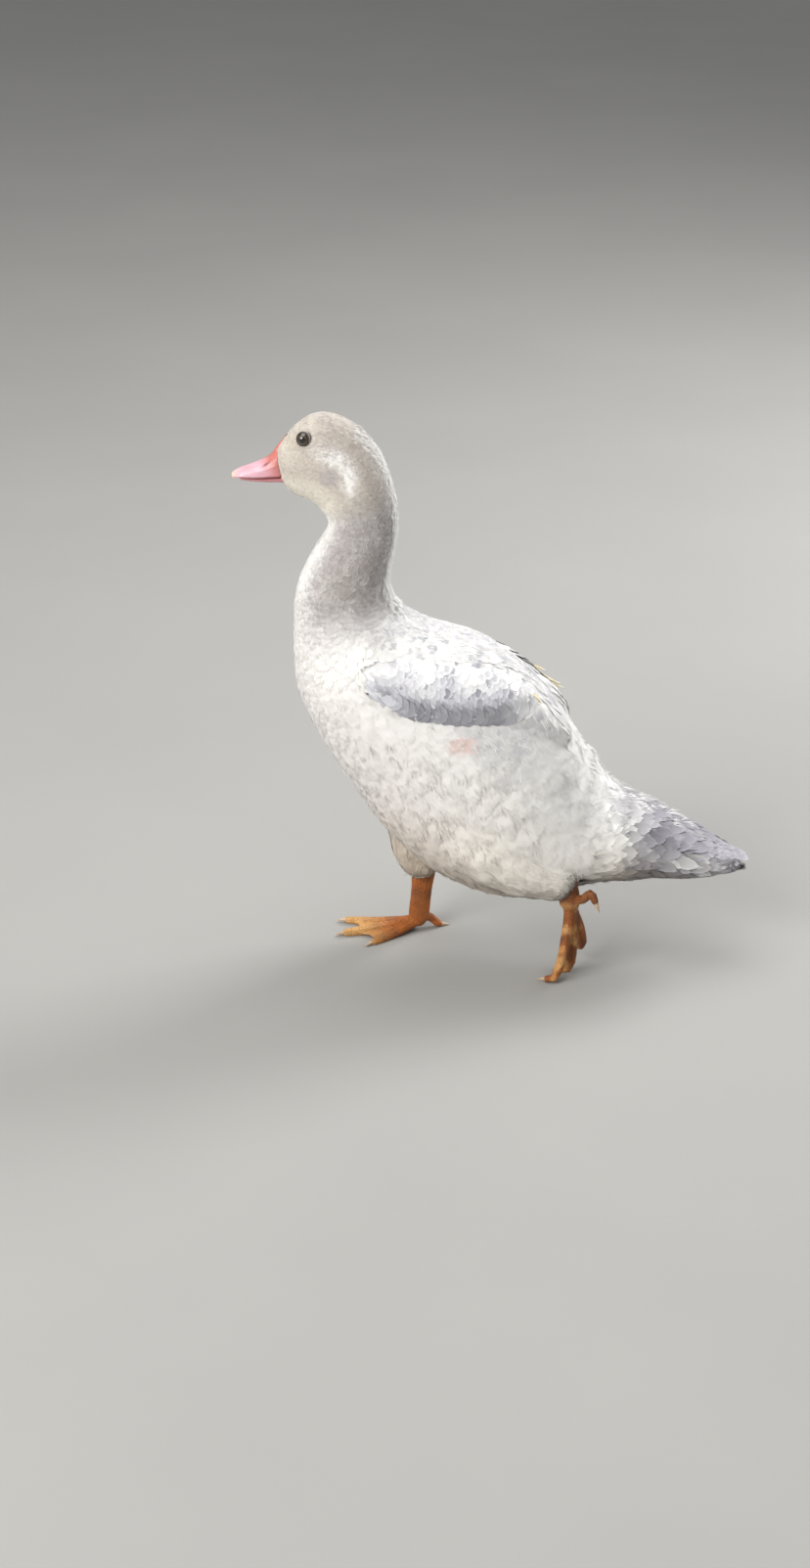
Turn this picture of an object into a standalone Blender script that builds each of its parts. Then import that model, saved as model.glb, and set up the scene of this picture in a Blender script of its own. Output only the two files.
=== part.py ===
"""A young Muscovy duck caught in mid-stride, at life size, as the solids of its body.

Units are metres, +Z is up and the duck faces -X, so its right side is +Y. It stands on z = 0: the right foot
lies flat, and the left foot pushes off with its toe tips down. Head, neck, trunk and tail are one loft of
ribs, parted by thin cuts. The bill, wings and thighs grow out of that loft, and are cut to lie along it. The
origin is below the middle of the duck, from bill tip to tail tip.
"""

import math
from collections import namedtuple

import bmesh
import bpy
import numpy as np
from mathutils import Vector

COLLECTION = "muscovy_duck"

# Gaps and mesh density
GAP = 0.0003                # between pieces that meet at a cut
FIT = 0.0006                # between the body and what lies along its curve
BODY_SIDES = 26             # points round a rib of the body
BODY_RINGS = 3              # rings from one rib to the next
BILL_SIDES = 16
BILL_RINGS = 2
LIMB_SIDES = 14
TOE_SIDES = 8
CLAW_SIDES = 6
SHARP_EDGE = 50             # degrees between faces above which an edge is shaded as sharp

# A rib is a cross-section in a plane that holds the Y axis: where it meets the upper and the lower outline
# (x, z), its half width, how far up from the lower point it is widest, and how square it is (ellipse: 2).
Rib = namedtuple("Rib", "name upper lower half_width widest square", defaults=(0.5, 2.0))

FACE = [
    Rib("face_tip", (-0.1820, 0.4620), (-0.1815, 0.4490), 0.0078),
    Rib("face", (-0.1795, 0.4695), (-0.1780, 0.4395), 0.0122),
    Rib("lores", (-0.1725, 0.4790), (-0.1730, 0.4325), 0.0166),
    Rib("eye", (-0.1625, 0.4885), (-0.1650, 0.4265), 0.0200, 0.48),
    Rib("crown", (-0.1450, 0.4965), (-0.1545, 0.4215), 0.0230, 0.46),
    Rib("hind_crown", (-0.1205, 0.4880), (-0.1465, 0.4150), 0.0248, 0.46),
    Rib("nape", (-0.0990, 0.4645), (-0.1420, 0.4085), 0.0260, 0.48),
    Rib("throat", (-0.0878, 0.4340), (-0.1402, 0.4010), 0.0266, 0.50),
]
NECK = [
    Rib("upper_neck", (-0.0834, 0.4040), (-0.1430, 0.3935), 0.0272),
    Rib("mid_neck", (-0.0862, 0.3760), (-0.1550, 0.3745), 0.0300),
    Rib("lower_neck", (-0.0910, 0.3490), (-0.1675, 0.3440), 0.0350),
]
TRUNK = [
    Rib("neck_base", (-0.0800, 0.3265), (-0.1705, 0.3000), 0.0450),
    Rib("shoulder", (-0.0470, 0.3080), (-0.1670, 0.2530), 0.0600),
    Rib("breast", (-0.0075, 0.2960), (-0.1480, 0.2110), 0.0700),
    Rib("ribcage", (0.0350, 0.2645), (-0.1215, 0.1680), 0.0740),
    Rib("belly", (0.0665, 0.2220), (-0.0905, 0.1210), 0.0740),
    Rib("loin", (0.0840, 0.1880), (-0.0470, 0.0830), 0.0690),
    Rib("rump", (0.1000, 0.1665), (0.0120, 0.0600), 0.0580, 0.50),
]
TAIL = [
    Rib("vent", (0.1270, 0.1500), (0.0800, 0.0720), 0.0460, 0.55),
    Rib("coverts", (0.1580, 0.1325), (0.1330, 0.0765), 0.0390, 0.60),
    Rib("quills", (0.1810, 0.1150), (0.1690, 0.0815), 0.0370, 0.55, 2.2),
    Rib("vanes", (0.2010, 0.1005), (0.1950, 0.0855), 0.0270, 0.50, 2.2),
    Rib("tail_tip", (0.2195, 0.0915), (0.2175, 0.0865), 0.0100, 0.50),
]
BODY = FACE + NECK + TRUNK + TAIL
HEAD_CUT, NECK_CUT, COLLAR_CUT, RUMP_CUT, TAIL_CUT = "throat", "mid_neck", "neck_base", "rump", "coverts"

# Bill
UPPER_BILL = [
    Rib("root", (-0.1700, 0.4700), (-0.1700, 0.4440), 0.0092, 0.10, 2.4),
    Rib("base", (-0.1800, 0.4665), (-0.1800, 0.4435), 0.0114, 0.12, 2.4),
    Rib("nostril", (-0.1890, 0.4595), (-0.1890, 0.4430), 0.0114, 0.16, 2.4),
    Rib("blade", (-0.1990, 0.4540), (-0.1990, 0.4425), 0.0112, 0.22, 2.4),
    Rib("spoon", (-0.2090, 0.4500), (-0.2090, 0.4428), 0.0110, 0.30, 2.4),
    Rib("nail", (-0.2150, 0.4478), (-0.2150, 0.4425), 0.0090, 0.35, 2.2),
    Rib("bill_tip", (-0.2195, 0.4450), (-0.2192, 0.4415), 0.0042, 0.45),
]
NAIL_CUT = "nail"
LOWER_BILL = [
    Rib("jaw", (-0.1700, 0.4422), (-0.1700, 0.4345), 0.0085, 0.70),
    Rib("gape", (-0.1800, 0.4420), (-0.1800, 0.4352), 0.0100, 0.75),
    Rib("keel", (-0.1950, 0.4412), (-0.1950, 0.4368), 0.0096, 0.75),
    Rib("lip", (-0.2090, 0.4415), (-0.2090, 0.4388), 0.0082, 0.70),
    Rib("lip_tip", (-0.2135, 0.4412), (-0.2135, 0.4398), 0.0046, 0.60),
]

# Eyes
EYE_RADIUS = 0.0060
EYE_AT = (-0.1590, 0.0150, 0.4795)  # the right eye's centre
EYE_SEGMENTS, EYE_RINGS = 14, 8

# A bone is a station of a limb: its middle, and its radius fore and aft and from side to side.
Bone = namedtuple("Bone", "at deep wide")

# Wings: the right one, which the left one mirrors. Stations run from the wrist to the tip of the pinions.
WING = [
    Bone((-0.1190, 0.0470, 0.2920), 0.0080, 0.0050),
    Bone((-0.1080, 0.0500, 0.2870), 0.0175, 0.0105),
    Bone((-0.0800, 0.0550, 0.2750), 0.0240, 0.0140),
    Bone((-0.0400, 0.0520, 0.2680), 0.0260, 0.0145),
    Bone((-0.0050, 0.0455, 0.2610), 0.0240, 0.0140),
    Bone((0.0250, 0.0350, 0.2480), 0.0190, 0.0130),
    Bone((0.0500, 0.0300, 0.2310), 0.0110, 0.0080),
    Bone((0.0640, 0.0270, 0.2210), 0.0036, 0.0028),
]
WING_ROLL = 38              # degrees that the wing leans in over the back

# Legs: the ankle, the joint where the toes meet, and the feathered thigh. A hallux runs through points
# (behind, above) the joint. Heading is in degrees out from straight ahead: both feet are turned in.
Leg = namedtuple("Leg", "name side ankle joint heading pushing thigh hallux")
RIGHT_LEG = Leg(
    "right", 1, (-0.0590, 0.0430, 0.0640), (-0.0640, 0.0430, 0.0110), -12, False,
    thigh=[
        Bone((-0.0320, 0.0330, 0.1500), 0.0420, 0.0330),
        Bone((-0.0490, 0.0380, 0.1200), 0.0440, 0.0320),
        Bone((-0.0600, 0.0410, 0.0930), 0.0310, 0.0240),
        Bone((-0.0630, 0.0430, 0.0720), 0.0205, 0.0165),
        Bone((-0.0600, 0.0430, 0.0600), 0.0130, 0.0110),
    ],
    hallux=[(0.0010, 0.0030), (0.0110, -0.0010), (0.0175, -0.0076), (0.0205, -0.0086)],
)
LEFT_LEG = Leg(
    "left", -1, (0.0590, -0.0440, 0.1120), (0.0670, -0.0440, 0.0685), -35, True,
    thigh=[
        Bone((-0.0300, -0.0330, 0.1520), 0.0400, 0.0330),
        Bone((-0.0050, -0.0380, 0.1270), 0.0390, 0.0330),
        Bone((0.0230, -0.0420, 0.1050), 0.0290, 0.0260),
        Bone((0.0460, -0.0440, 0.0940), 0.0200, 0.0180),
        Bone((0.0620, -0.0440, 0.0860), 0.0140, 0.0130),
    ],
    hallux=[(0.0030, 0.0040), (0.0135, 0.0085), (0.0200, 0.0160), (0.0255, 0.0080)],
)

# Toes: length to the claw's root, angle out from straight ahead (the outer toe's is positive), and radius
Toe = namedtuple("Toe", "name length splay radius")
TOES = [
    Toe("inner", 0.0520, -26, 0.0040),
    Toe("middle", 0.0680, 0, 0.0045),
    Toe("outer", 0.0660, 22, 0.0041),
]
HALLUX = Toe("hallux", 0.0, 0, 0.0036)      # its leg gives its line
WEBBED = [("inner", "middle"), ("middle", "outer")]
TOE_SWELL = [1.25, 1.0, 1.08, 0.95, 0.95, 0.70]     # the toe's radius from joint to claw, as a share
TOE_SHARES = np.linspace(0, 1, 10)          # where a toe's rings are along it
TOE_RINGS = 3                               # steps of a toe's line from one point to the next
SOLE = 0.62                                 # height of a toe that stands on its pad, as a share of its radius
BALL_RADIUS = 0.0078                        # where the toes meet
BALL_SEGMENTS, BALL_RINGS = 10, 6
# A toe's line: share of its length and height in radii, or share of its drop and how far behind the joint
FLAT_TOE = [(0.00, 2.30), (0.20, 1.60), (0.50, 0.95), (0.80, SOLE), (1.00, SOLE)]
STEP_TOE = [(0.00, 0.0), (0.30, 0.0020), (0.60, 0.0030), (0.85, 0.0015), (0.98, -0.0020), (1.00, -0.0085)]
SPREAD_PUSHING = 0.90                       # spread of the foot that pushes off, as a share of a flat one's
WEB_THICKNESS = 0.0014
WEB_ROOT, WEB_REACH = 0.18, 0.94           # where the web starts and ends along the toes
WEB_REACH_PUSHING = 0.82
WEB_HOLLOW = 0.14                           # how much less the web reaches between them
WEB_ROWS, WEB_COLUMNS = 5, 5
SHANK = [(0.0112, 0.0088), (0.0098, 0.0072), (0.0086, 0.0064), (0.0092, 0.0074), (0.0088, 0.0078)]
SHANK_RINGS = 5
STUB = 0.0100                               # length of shank that belongs to the foot
CLAW_LENGTH = 0.0078
CLAW_RADII = [0.0020, 0.0016, 0.0010, 0.0004]
CLAW_DROOP = 0.0014
CLAW_CLEAR = 0.0004                         # between a claw and the floor
FLOOR_SIZE, FLOOR_DEPTH = 0.5, 0.05

# Colours, roughness
FEATHER_WHITE = ((0.80, 0.78, 0.74), 0.85)
FEATHER_GREY = ((0.56, 0.56, 0.60), 0.85)
BILL_PINK = ((0.72, 0.38, 0.34), 0.40)
NAIL_YELLOW = ((0.80, 0.68, 0.45), 0.40)
LEG_ORANGE = ((0.62, 0.33, 0.10), 0.50)
CLAW_HORN = ((0.55, 0.42, 0.30), 0.35)
EYE_BROWN = ((0.05, 0.035, 0.02), 0.08)


def clear_scene():
    for obj in list(bpy.data.objects):
        bpy.data.objects.remove(obj, do_unlink=True)


def new_collection(name):
    collection = bpy.data.collections.new(name)
    bpy.context.scene.collection.children.link(collection)
    return collection


def new_material(name, finish):
    colour, roughness = finish
    material = bpy.data.materials.new(name)
    material.use_nodes = True
    shader = material.node_tree.nodes["Principled BSDF"]
    shader.inputs["Base Color"].default_value = (*colour, 1.0)
    shader.inputs["Roughness"].default_value = roughness
    shader.inputs["Metallic"].default_value = 0.0
    return material


def smooth_rows(rows, per_span):
    """Rows of a Catmull-Rom curve through the given rows: per_span to each gap, and the last one."""
    rows = np.array(rows, float)
    padded = np.vstack([2 * rows[0] - rows[1], rows, 2 * rows[-1] - rows[-2]])
    found = []
    for before, start, end, after in zip(padded, padded[1:], padded[2:], padded[3:]):
        for t in np.arange(per_span) / per_span:
            bend = 2 * before - 5 * start + 4 * end - after
            twist = 3 * (start - end) + after - before
            found.append(start + 0.5 * t * (end - before + t * (bend + t * twist)))
    return np.array(found + [rows[-1]])


def rib_rows(ribs, per_span):
    return smooth_rows([[*r.upper, *r.lower, r.half_width, r.widest, r.square] for r in ribs], per_span)


def rib_ring(row, sides, grow=0.0):
    """The points round a rib, made larger all round by grow."""
    upper, lower = row[0:2], row[2:4]
    half_width, widest, square = row[4:7]
    height = np.linalg.norm(upper - lower)
    axis = (upper - lower) / height
    middle = lower + (upper - lower) * widest
    angle = 2 * math.pi * np.arange(sides) / sides
    across = np.sign(np.cos(angle)) * np.abs(np.cos(angle)) ** (2 / square)
    along = np.sign(np.sin(angle)) * np.abs(np.sin(angle)) ** (2 / square)
    reach = np.where(along > 0, height * (1 - widest), height * widest) + grow
    return np.stack([
        middle[0] + axis[0] * along * reach,
        across * (half_width + grow),
        middle[1] + axis[1] * along * reach,
    ], axis=1)


def pulled_in(rings, end, other):
    """Moves an end ring half a gap towards the ring beside it, square to its own plane."""
    ring = rings[end]
    upper_way = ring[len(ring) // 4] - ring[3 * len(ring) // 4]
    normal = np.cross(upper_way, (0.0, 1.0, 0.0))
    normal /= np.linalg.norm(normal)
    towards = (rings[other] - ring).mean(axis=0)
    rings[end] = ring + normal * math.copysign(GAP / 2, normal @ towards)


def bridged(name, rings):
    """A mesh of quads from ring to ring, closed by a face at each end."""
    count, sides = len(rings), len(rings[0])
    points = np.concatenate(rings)
    faces = []
    for ring in range(count - 1):
        for side in range(sides):
            corner = ring * sides + side
            beside = ring * sides + (side + 1) % sides
            faces.append((corner, beside, beside + sides, corner + sides))
    faces.append(tuple(range(sides)))
    faces.append(tuple(range((count - 1) * sides, count * sides)))
    mesh = bpy.data.meshes.new(name)
    mesh.from_pydata(points.tolist(), [], faces)
    work = bmesh.new()
    work.from_mesh(mesh)
    bmesh.ops.recalc_face_normals(work, faces=work.faces)
    work.to_mesh(mesh)
    work.free()
    mesh.shade_smooth()
    mesh.set_sharp_from_angle(angle=math.radians(SHARP_EDGE))
    return mesh


def add(name, mesh, material=None, collection=None):
    """A visible sub-part, or a hidden cutter where it has no material."""
    obj = bpy.data.objects.new(name, mesh)
    if material:
        mesh.materials.clear()
        mesh.materials.append(material)
        PARTS.objects.link(obj)
    else:
        CUTTERS.objects.link(obj)
        obj.hide_render = True
        obj.display_type = "WIRE"
    return obj


def boolean(obj, other):
    """Cuts the other object out of this one."""
    modifier = obj.modifiers.new("cut", "BOOLEAN")
    modifier.operation = "DIFFERENCE"
    modifier.solver = "EXACT"
    modifier.object = other


def body_mesh(name, first=None, last=None, grow=0.0):
    """The body's loft from one rib to another, or whole."""
    names = [rib.name for rib in BODY]
    rows = rib_rows(BODY, BODY_RINGS)
    start = names.index(first) * BODY_RINGS if first else 0
    stop = names.index(last) * BODY_RINGS if last else len(rows) - 1
    rings = [rib_ring(row, BODY_SIDES, grow) for row in rows[start:stop + 1]]
    if first:
        pulled_in(rings, 0, 1)
    if last:
        pulled_in(rings, -1, -2)
    return bridged(name, rings)


def limb_frames(stations, per_span):
    """Middles, ways along and radii of a limb's rings."""
    rows = smooth_rows([[*bone.at, bone.deep, bone.wide] for bone in stations], per_span)
    middles = rows[:, :3]
    ways = np.gradient(middles, axis=0)
    return middles, ways / np.linalg.norm(ways, axis=1)[:, None], rows[:, 3:]


def limb_mesh(name, stations, sides=LIMB_SIDES, per_span=3, roll=0.0):
    """A loft of ovals square to the way along. Wide runs from side to side, turned about that way by roll."""
    angle = 2 * math.pi * np.arange(sides) / sides
    rings = []
    for middle, way, (deep, wide) in zip(*limb_frames(stations, per_span)):
        sideways = np.cross(np.cross(way, (0.0, 1.0, 0.0)), way)
        sideways /= np.linalg.norm(sideways)
        upright = np.cross(way, sideways)
        turned = math.cos(roll) * sideways + math.sin(roll) * upright
        square = np.cross(way, turned)
        rings.append(middle + np.outer(np.cos(angle) * deep, square) + np.outer(np.sin(angle) * wide, turned))
    return bridged(name, rings)


def ball(name, centre, radius, segments, rings):
    mesh = bpy.data.meshes.new(name)
    work = bmesh.new()
    bmesh.ops.create_uvsphere(work, u_segments=segments, v_segments=rings, radius=radius)
    bmesh.ops.translate(work, verts=work.verts, vec=Vector(centre))
    work.to_mesh(mesh)
    work.free()
    mesh.shade_smooth()
    return mesh


def box(name, low, high):
    mesh = bpy.data.meshes.new(name)
    work = bmesh.new()
    bmesh.ops.create_cube(work, size=1.0)
    size = Vector(high) - Vector(low)
    bmesh.ops.scale(work, verts=work.verts, vec=size)
    bmesh.ops.translate(work, verts=work.verts, vec=(Vector(low) + Vector(high)) / 2)
    work.to_mesh(mesh)
    work.free()
    return mesh


def make_body(white, grey):
    """Head, neck, trunk and tail."""
    cuts = [None, HEAD_CUT, NECK_CUT, COLLAR_CUT, RUMP_CUT, TAIL_CUT, None]
    names = ["head", "neck_upper", "neck_lower", "trunk", "rump", "tail"]
    made = {}
    for name, first, last in zip(names, cuts, cuts[1:]):
        finish = grey if name == "tail" else white
        made[name] = add(name, body_mesh(name, first, last), finish)
    return made


def make_eyes(head, material):
    for name, side in (("eye_right", 1), ("eye_left", -1)):
        centre = (EYE_AT[0], side * EYE_AT[1], EYE_AT[2])
        add(name, ball(name, centre, EYE_RADIUS, EYE_SEGMENTS, EYE_RINGS), material)
        socket = add(f"{name}_socket", ball(name, centre, EYE_RADIUS + GAP, EYE_SEGMENTS, EYE_RINGS))
        boolean(head, socket)


def bill_piece(name, ribs, first, last, material, face):
    """Part of one half of the bill. What reaches into the head is cut away where face is given."""
    names = [rib.name for rib in ribs]
    rows = rib_rows(ribs, BILL_RINGS)
    start = names.index(first) * BILL_RINGS if first else 0
    stop = names.index(last) * BILL_RINGS if last else len(rows) - 1
    rings = [rib_ring(row, BILL_SIDES) for row in rows[start:stop + 1]]
    if first:
        pulled_in(rings, 0, 1)
    if last:
        pulled_in(rings, -1, -2)
    piece = add(name, bridged(name, rings), material)
    if face:
        boolean(piece, face)


def make_bill(pink, yellow):
    face = add("face_cutter", body_mesh("face_cutter", None, HEAD_CUT, FIT))
    bill_piece("bill_upper", UPPER_BILL, None, NAIL_CUT, pink, face)
    bill_piece("bill_nail", UPPER_BILL, NAIL_CUT, None, yellow, None)
    bill_piece("bill_lower", LOWER_BILL, None, None, pink, face)


def mirrored(stations, side):
    return [Bone((bone.at[0], side * bone.at[1], bone.at[2]), bone.deep, bone.wide) for bone in stations]


def make_wings(body_cutter, material):
    for name, side in (("wing_right", 1), ("wing_left", -1)):
        mesh = limb_mesh(name, mirrored(WING, side), per_span=2, roll=side * math.radians(WING_ROLL))
        boolean(add(name, mesh, material), body_cutter)


def along(path, shares):
    """Points at the given shares of a path's length."""
    path = np.array(path)
    steps = np.linalg.norm(np.diff(path, axis=0), axis=1)
    run = np.concatenate([[0.0], np.cumsum(steps)]) / steps.sum()
    return np.stack([np.interp(shares, run, path[:, k]) for k in range(3)], axis=1)


def foot_point(leg, turn, ahead, out, height):
    """A point ahead of the joint and out from it, for a foot turned out by so many degrees."""
    cos, sin = math.cos(math.radians(turn)), math.sin(math.radians(turn))
    return leg.joint[0] - ahead * cos + out * sin, leg.joint[1] + leg.side * (ahead * sin + out * cos), height


def toe_path(toe, leg):
    """A smooth line along the middle of a toe, from the joint to the root of its claw."""
    points = []
    if leg.pushing:
        spread = toe.length * math.tan(math.radians(toe.splay * SPREAD_PUSHING))
        drop = min(toe.length, leg.joint[2] - toe.radius * SOLE)
        for share, back in STEP_TOE:
            points.append(foot_point(leg, leg.heading, -back, spread * share, leg.joint[2] - drop * share))
    else:
        turn = leg.heading + toe.splay
        for share, height in FLAT_TOE:
            points.append(foot_point(leg, turn, toe.length * share, 0, toe.radius * height))
    return smooth_rows(points, TOE_RINGS)


def hallux_path(leg):
    points = [foot_point(leg, leg.heading, -behind, 0, leg.joint[2] + above) for behind, above in leg.hallux]
    return smooth_rows(points, TOE_RINGS)


def toe_mesh(name, path, radius):
    swell = np.interp(TOE_SHARES, np.linspace(0, 1, len(TOE_SWELL)), TOE_SWELL) * radius
    stations = [Bone(tuple(at), size, size) for at, size in zip(along(path, TOE_SHARES), swell)]
    return limb_mesh(name, stations, TOE_SIDES, 1)


def web_mesh(name, first, second, longest):
    """An open sheet between two toes, with a hollow front edge."""
    points = []
    for column in np.linspace(0, 1, WEB_COLUMNS):
        reach = longest - WEB_HOLLOW * math.sin(math.pi * column)
        shares = np.linspace(WEB_ROOT, reach, WEB_ROWS)
        points.append(along(first, shares) * (1 - column) + along(second, shares) * column)
    faces = []
    for column in range(WEB_COLUMNS - 1):
        for row in range(WEB_ROWS - 1):
            corner = column * WEB_ROWS + row
            faces.append((corner, corner + 1, corner + WEB_ROWS + 1, corner + WEB_ROWS))
    mesh = bpy.data.meshes.new(name)
    mesh.from_pydata(np.concatenate(points).tolist(), [], faces)
    return mesh


def make_claw(name, path, material):
    """A claw that goes on from the end of a toe, and droops towards its point."""
    before, end = along(path, TOE_SHARES)[-2:]
    way = end - before
    way /= np.linalg.norm(way)
    stations = []
    for i, radius in enumerate(CLAW_RADII):
        share = i / (len(CLAW_RADII) - 1)
        at = end + way * (GAP + CLAW_LENGTH * share)
        at[2] = max(at[2] - CLAW_DROOP * share ** 2, radius + CLAW_CLEAR)
        stations.append(Bone(tuple(at), radius, radius))
    add(name, limb_mesh(name, stations, CLAW_SIDES, 1), material)


def shank_mesh(name, leg, first=0.0, last=1.0, grow=0.0):
    """The shank from one share of the way down from the ankle to another."""
    ankle, joint = np.array(leg.ankle), np.array(leg.joint)
    shares = np.linspace(first, last, SHANK_RINGS)
    places = np.linspace(0, 1, len(SHANK))
    deep = np.interp(shares, places, [deep for deep, wide in SHANK]) + grow
    wide = np.interp(shares, places, [wide for deep, wide in SHANK]) + grow
    stations = [Bone(tuple(ankle + (joint - ankle) * s), d, w) for s, d, w in zip(shares, deep, wide)]
    return limb_mesh(name, stations, per_span=1)


def shank_cut(leg):
    """The shares at which the shank ends and its stub on the foot starts."""
    length = np.linalg.norm(np.array(leg.joint) - np.array(leg.ankle))
    return 1 - (STUB + GAP) / length, 1 - STUB / length


def make_leg(leg, body_cutter, feathers, skin):
    """The feathered thigh, and the bare shank that comes out of it."""
    sleeve = add(f"shank_{leg.name}_sleeve", shank_mesh("sleeve", leg, grow=FIT))
    upper = add(f"thigh_{leg.name}", limb_mesh("thigh", leg.thigh), feathers)
    boolean(upper, body_cutter)
    boolean(upper, sleeve)
    shank = add(f"shank_{leg.name}", shank_mesh("shank", leg, last=shank_cut(leg)[0]), skin)
    boolean(shank, body_cutter)


def make_web(name, first, second, pushing):
    web = add(name, web_mesh("web", first, second, WEB_REACH_PUSHING if pushing else WEB_REACH))
    thicken = web.modifiers.new("thickness", "SOLIDIFY")
    thicken.thickness = WEB_THICKNESS
    thicken.offset = 0.0
    return web


def make_foot(leg, floor, skin, horn):
    """Toes, webs, the ball where they meet and the end of the shank, joined, with a claw on each toe."""
    name = f"foot_{leg.name}"
    paths = {toe.name: toe_path(toe, leg) for toe in TOES}
    pieces = [make_web(f"{name}_web_{a}", paths[a], paths[b], leg.pushing) for a, b in WEBBED]
    paths[HALLUX.name] = hallux_path(leg)
    for toe in TOES + [HALLUX]:
        pieces.append(add(f"{name}_{toe.name}", toe_mesh(toe.name, paths[toe.name], toe.radius)))
    pieces.append(add(f"{name}_ball", ball("ball", leg.joint, BALL_RADIUS, BALL_SEGMENTS, BALL_RINGS)))
    whole = add(name, shank_mesh(name, leg, first=shank_cut(leg)[1]), skin)
    joined = bpy.data.collections.new(f"{name}_pieces")
    CUTTERS.children.link(joined)
    for piece in pieces:
        CUTTERS.objects.unlink(piece)
        joined.objects.link(piece)
    union = whole.modifiers.new("union", "BOOLEAN")
    union.operation = "UNION"
    union.operand_type = "COLLECTION"
    union.collection = joined
    union.use_self = True
    boolean(whole, floor)
    for toe_name, path in paths.items():
        make_claw(f"claw_{leg.name}_{toe_name}", path, horn)


clear_scene()
PARTS = new_collection(COLLECTION)
CUTTERS = new_collection("cutters")
CUTTERS.hide_render = True
white = new_material("feather_white", FEATHER_WHITE)
grey = new_material("feather_grey", FEATHER_GREY)
pink = new_material("bill_pink", BILL_PINK)
yellow = new_material("nail_yellow", NAIL_YELLOW)
orange = new_material("leg_orange", LEG_ORANGE)
horn = new_material("claw_horn", CLAW_HORN)
brown = new_material("eye_brown", EYE_BROWN)

nodes = make_body(white, grey)
make_eyes(nodes["head"], brown)
make_bill(pink, yellow)
body_cutter = add("body_cutter", body_mesh("body_cutter", grow=FIT))
make_wings(body_cutter, grey)
ground = box("ground", (-FLOOR_SIZE, -FLOOR_SIZE, -FLOOR_DEPTH), (FLOOR_SIZE, FLOOR_SIZE, 0.0))
floor = add("floor_cutter", ground)
for leg in (RIGHT_LEG, LEFT_LEG):
    make_leg(leg, body_cutter, white, orange)
    make_foot(leg, floor, orange, horn)
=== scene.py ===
"""Looks of a young Muscovy duck caught in mid-stride.

Metres, +Z up, the duck faces -X and its left side is -Y. One skin lies inside the solids by the depth of
the plumage. Feathers are meshes rooted on that skin: each follows it along the lie of the coat. One set of
markings colours both. Places come from the boxes of the CAD nodes, as shares of them, or are distances on
the bird.
"""
import math

import bmesh
import bpy
import numpy as np
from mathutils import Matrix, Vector, noise
from mathutils.bvhtree import BVHTree
from mathutils.kdtree import KDTree


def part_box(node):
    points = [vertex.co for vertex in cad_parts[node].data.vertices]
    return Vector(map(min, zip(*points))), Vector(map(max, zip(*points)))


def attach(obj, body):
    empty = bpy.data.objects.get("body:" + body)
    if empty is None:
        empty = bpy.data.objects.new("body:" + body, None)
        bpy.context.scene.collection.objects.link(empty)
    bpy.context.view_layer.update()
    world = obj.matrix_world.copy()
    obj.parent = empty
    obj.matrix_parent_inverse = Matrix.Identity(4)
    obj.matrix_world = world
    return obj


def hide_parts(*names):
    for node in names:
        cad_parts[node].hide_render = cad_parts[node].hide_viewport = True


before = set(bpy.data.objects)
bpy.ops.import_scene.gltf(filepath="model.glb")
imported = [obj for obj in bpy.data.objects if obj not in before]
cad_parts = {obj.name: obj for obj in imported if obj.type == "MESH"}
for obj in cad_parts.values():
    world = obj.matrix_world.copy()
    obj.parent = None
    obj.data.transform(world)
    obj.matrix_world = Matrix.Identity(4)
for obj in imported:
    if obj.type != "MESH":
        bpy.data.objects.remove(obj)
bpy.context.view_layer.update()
RNG = np.random.default_rng(11)
PI = math.pi

# ---------------------------------------------------------------- landmarks

# The line through the middle of head, neck, trunk and tail: node, and shares of its box along x and z
SPINE = [
    ("face", "head", 0.02, 0.567), ("eye", "head", 0.255, 0.600), ("crown", "head", 0.472, 0.546),
    ("nape", "head", 0.648, 0.383), ("throat", "head", 0.722, 0.173),
    ("upper_neck", "neck_upper", 0.58, 0.41), ("mid_neck", "neck_lower", 0.553, 0.99),
    ("lower_neck", "neck_lower", 0.455, 0.612), ("neck_base", "trunk", 0.168, 0.949),
    ("shoulder", "trunk", 0.235, 0.827), ("breast", "trunk", 0.342, 0.726),
    ("ribcage", "trunk", 0.471, 0.585), ("belly", "trunk", 0.586, 0.418), ("loin", "trunk", 0.699, 0.283),
    ("rump", "rump", 0.301, 0.498), ("vent", "rump", 0.627, 0.479), ("coverts", "tail", 0.145, 0.50),
    ("quills", "tail", 0.486, 0.384), ("vanes", "tail", 0.751, 0.295), ("tip", "tail", 0.99, 0.223),
]
STEPS_PER_SPAN = 14

# Depth of the plumage over the skin
COAT_DEPTH = {"face": 0.0006, "eye": 0.0012, "crown": 0.0020, "nape": 0.0026, "upper_neck": 0.0036,
              "mid_neck": 0.0042, "neck_base": 0.0050, "breast": 0.0058, "belly": 0.0058, "rump": 0.0058,
              "vent": 0.0058, "coverts": 0.0058, "quills": 0.0055, "vanes": 0.0045, "tip": 0.0030}


def srgb(red, green, blue):
    value = np.array([red, green, blue]) / 255
    return np.where(value < 0.04045, value / 12.92, ((value + 0.055) / 1.055) ** 2.4)


def unit(v):
    return v / np.maximum(np.linalg.norm(v, axis=-1, keepdims=True), 1e-9)


def ease(low, high, value):
    t = np.clip((value - low) / (high - low), 0, 1)
    return t * t * (3 - 2 * t)


def fade(low, high, value):
    return 1 - ease(low, high, value)


def bump(value, middle, width):
    return np.exp(-((value - middle) / width) ** 2)


def clamp(value):
    return np.clip(value, 0, 1)


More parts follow.
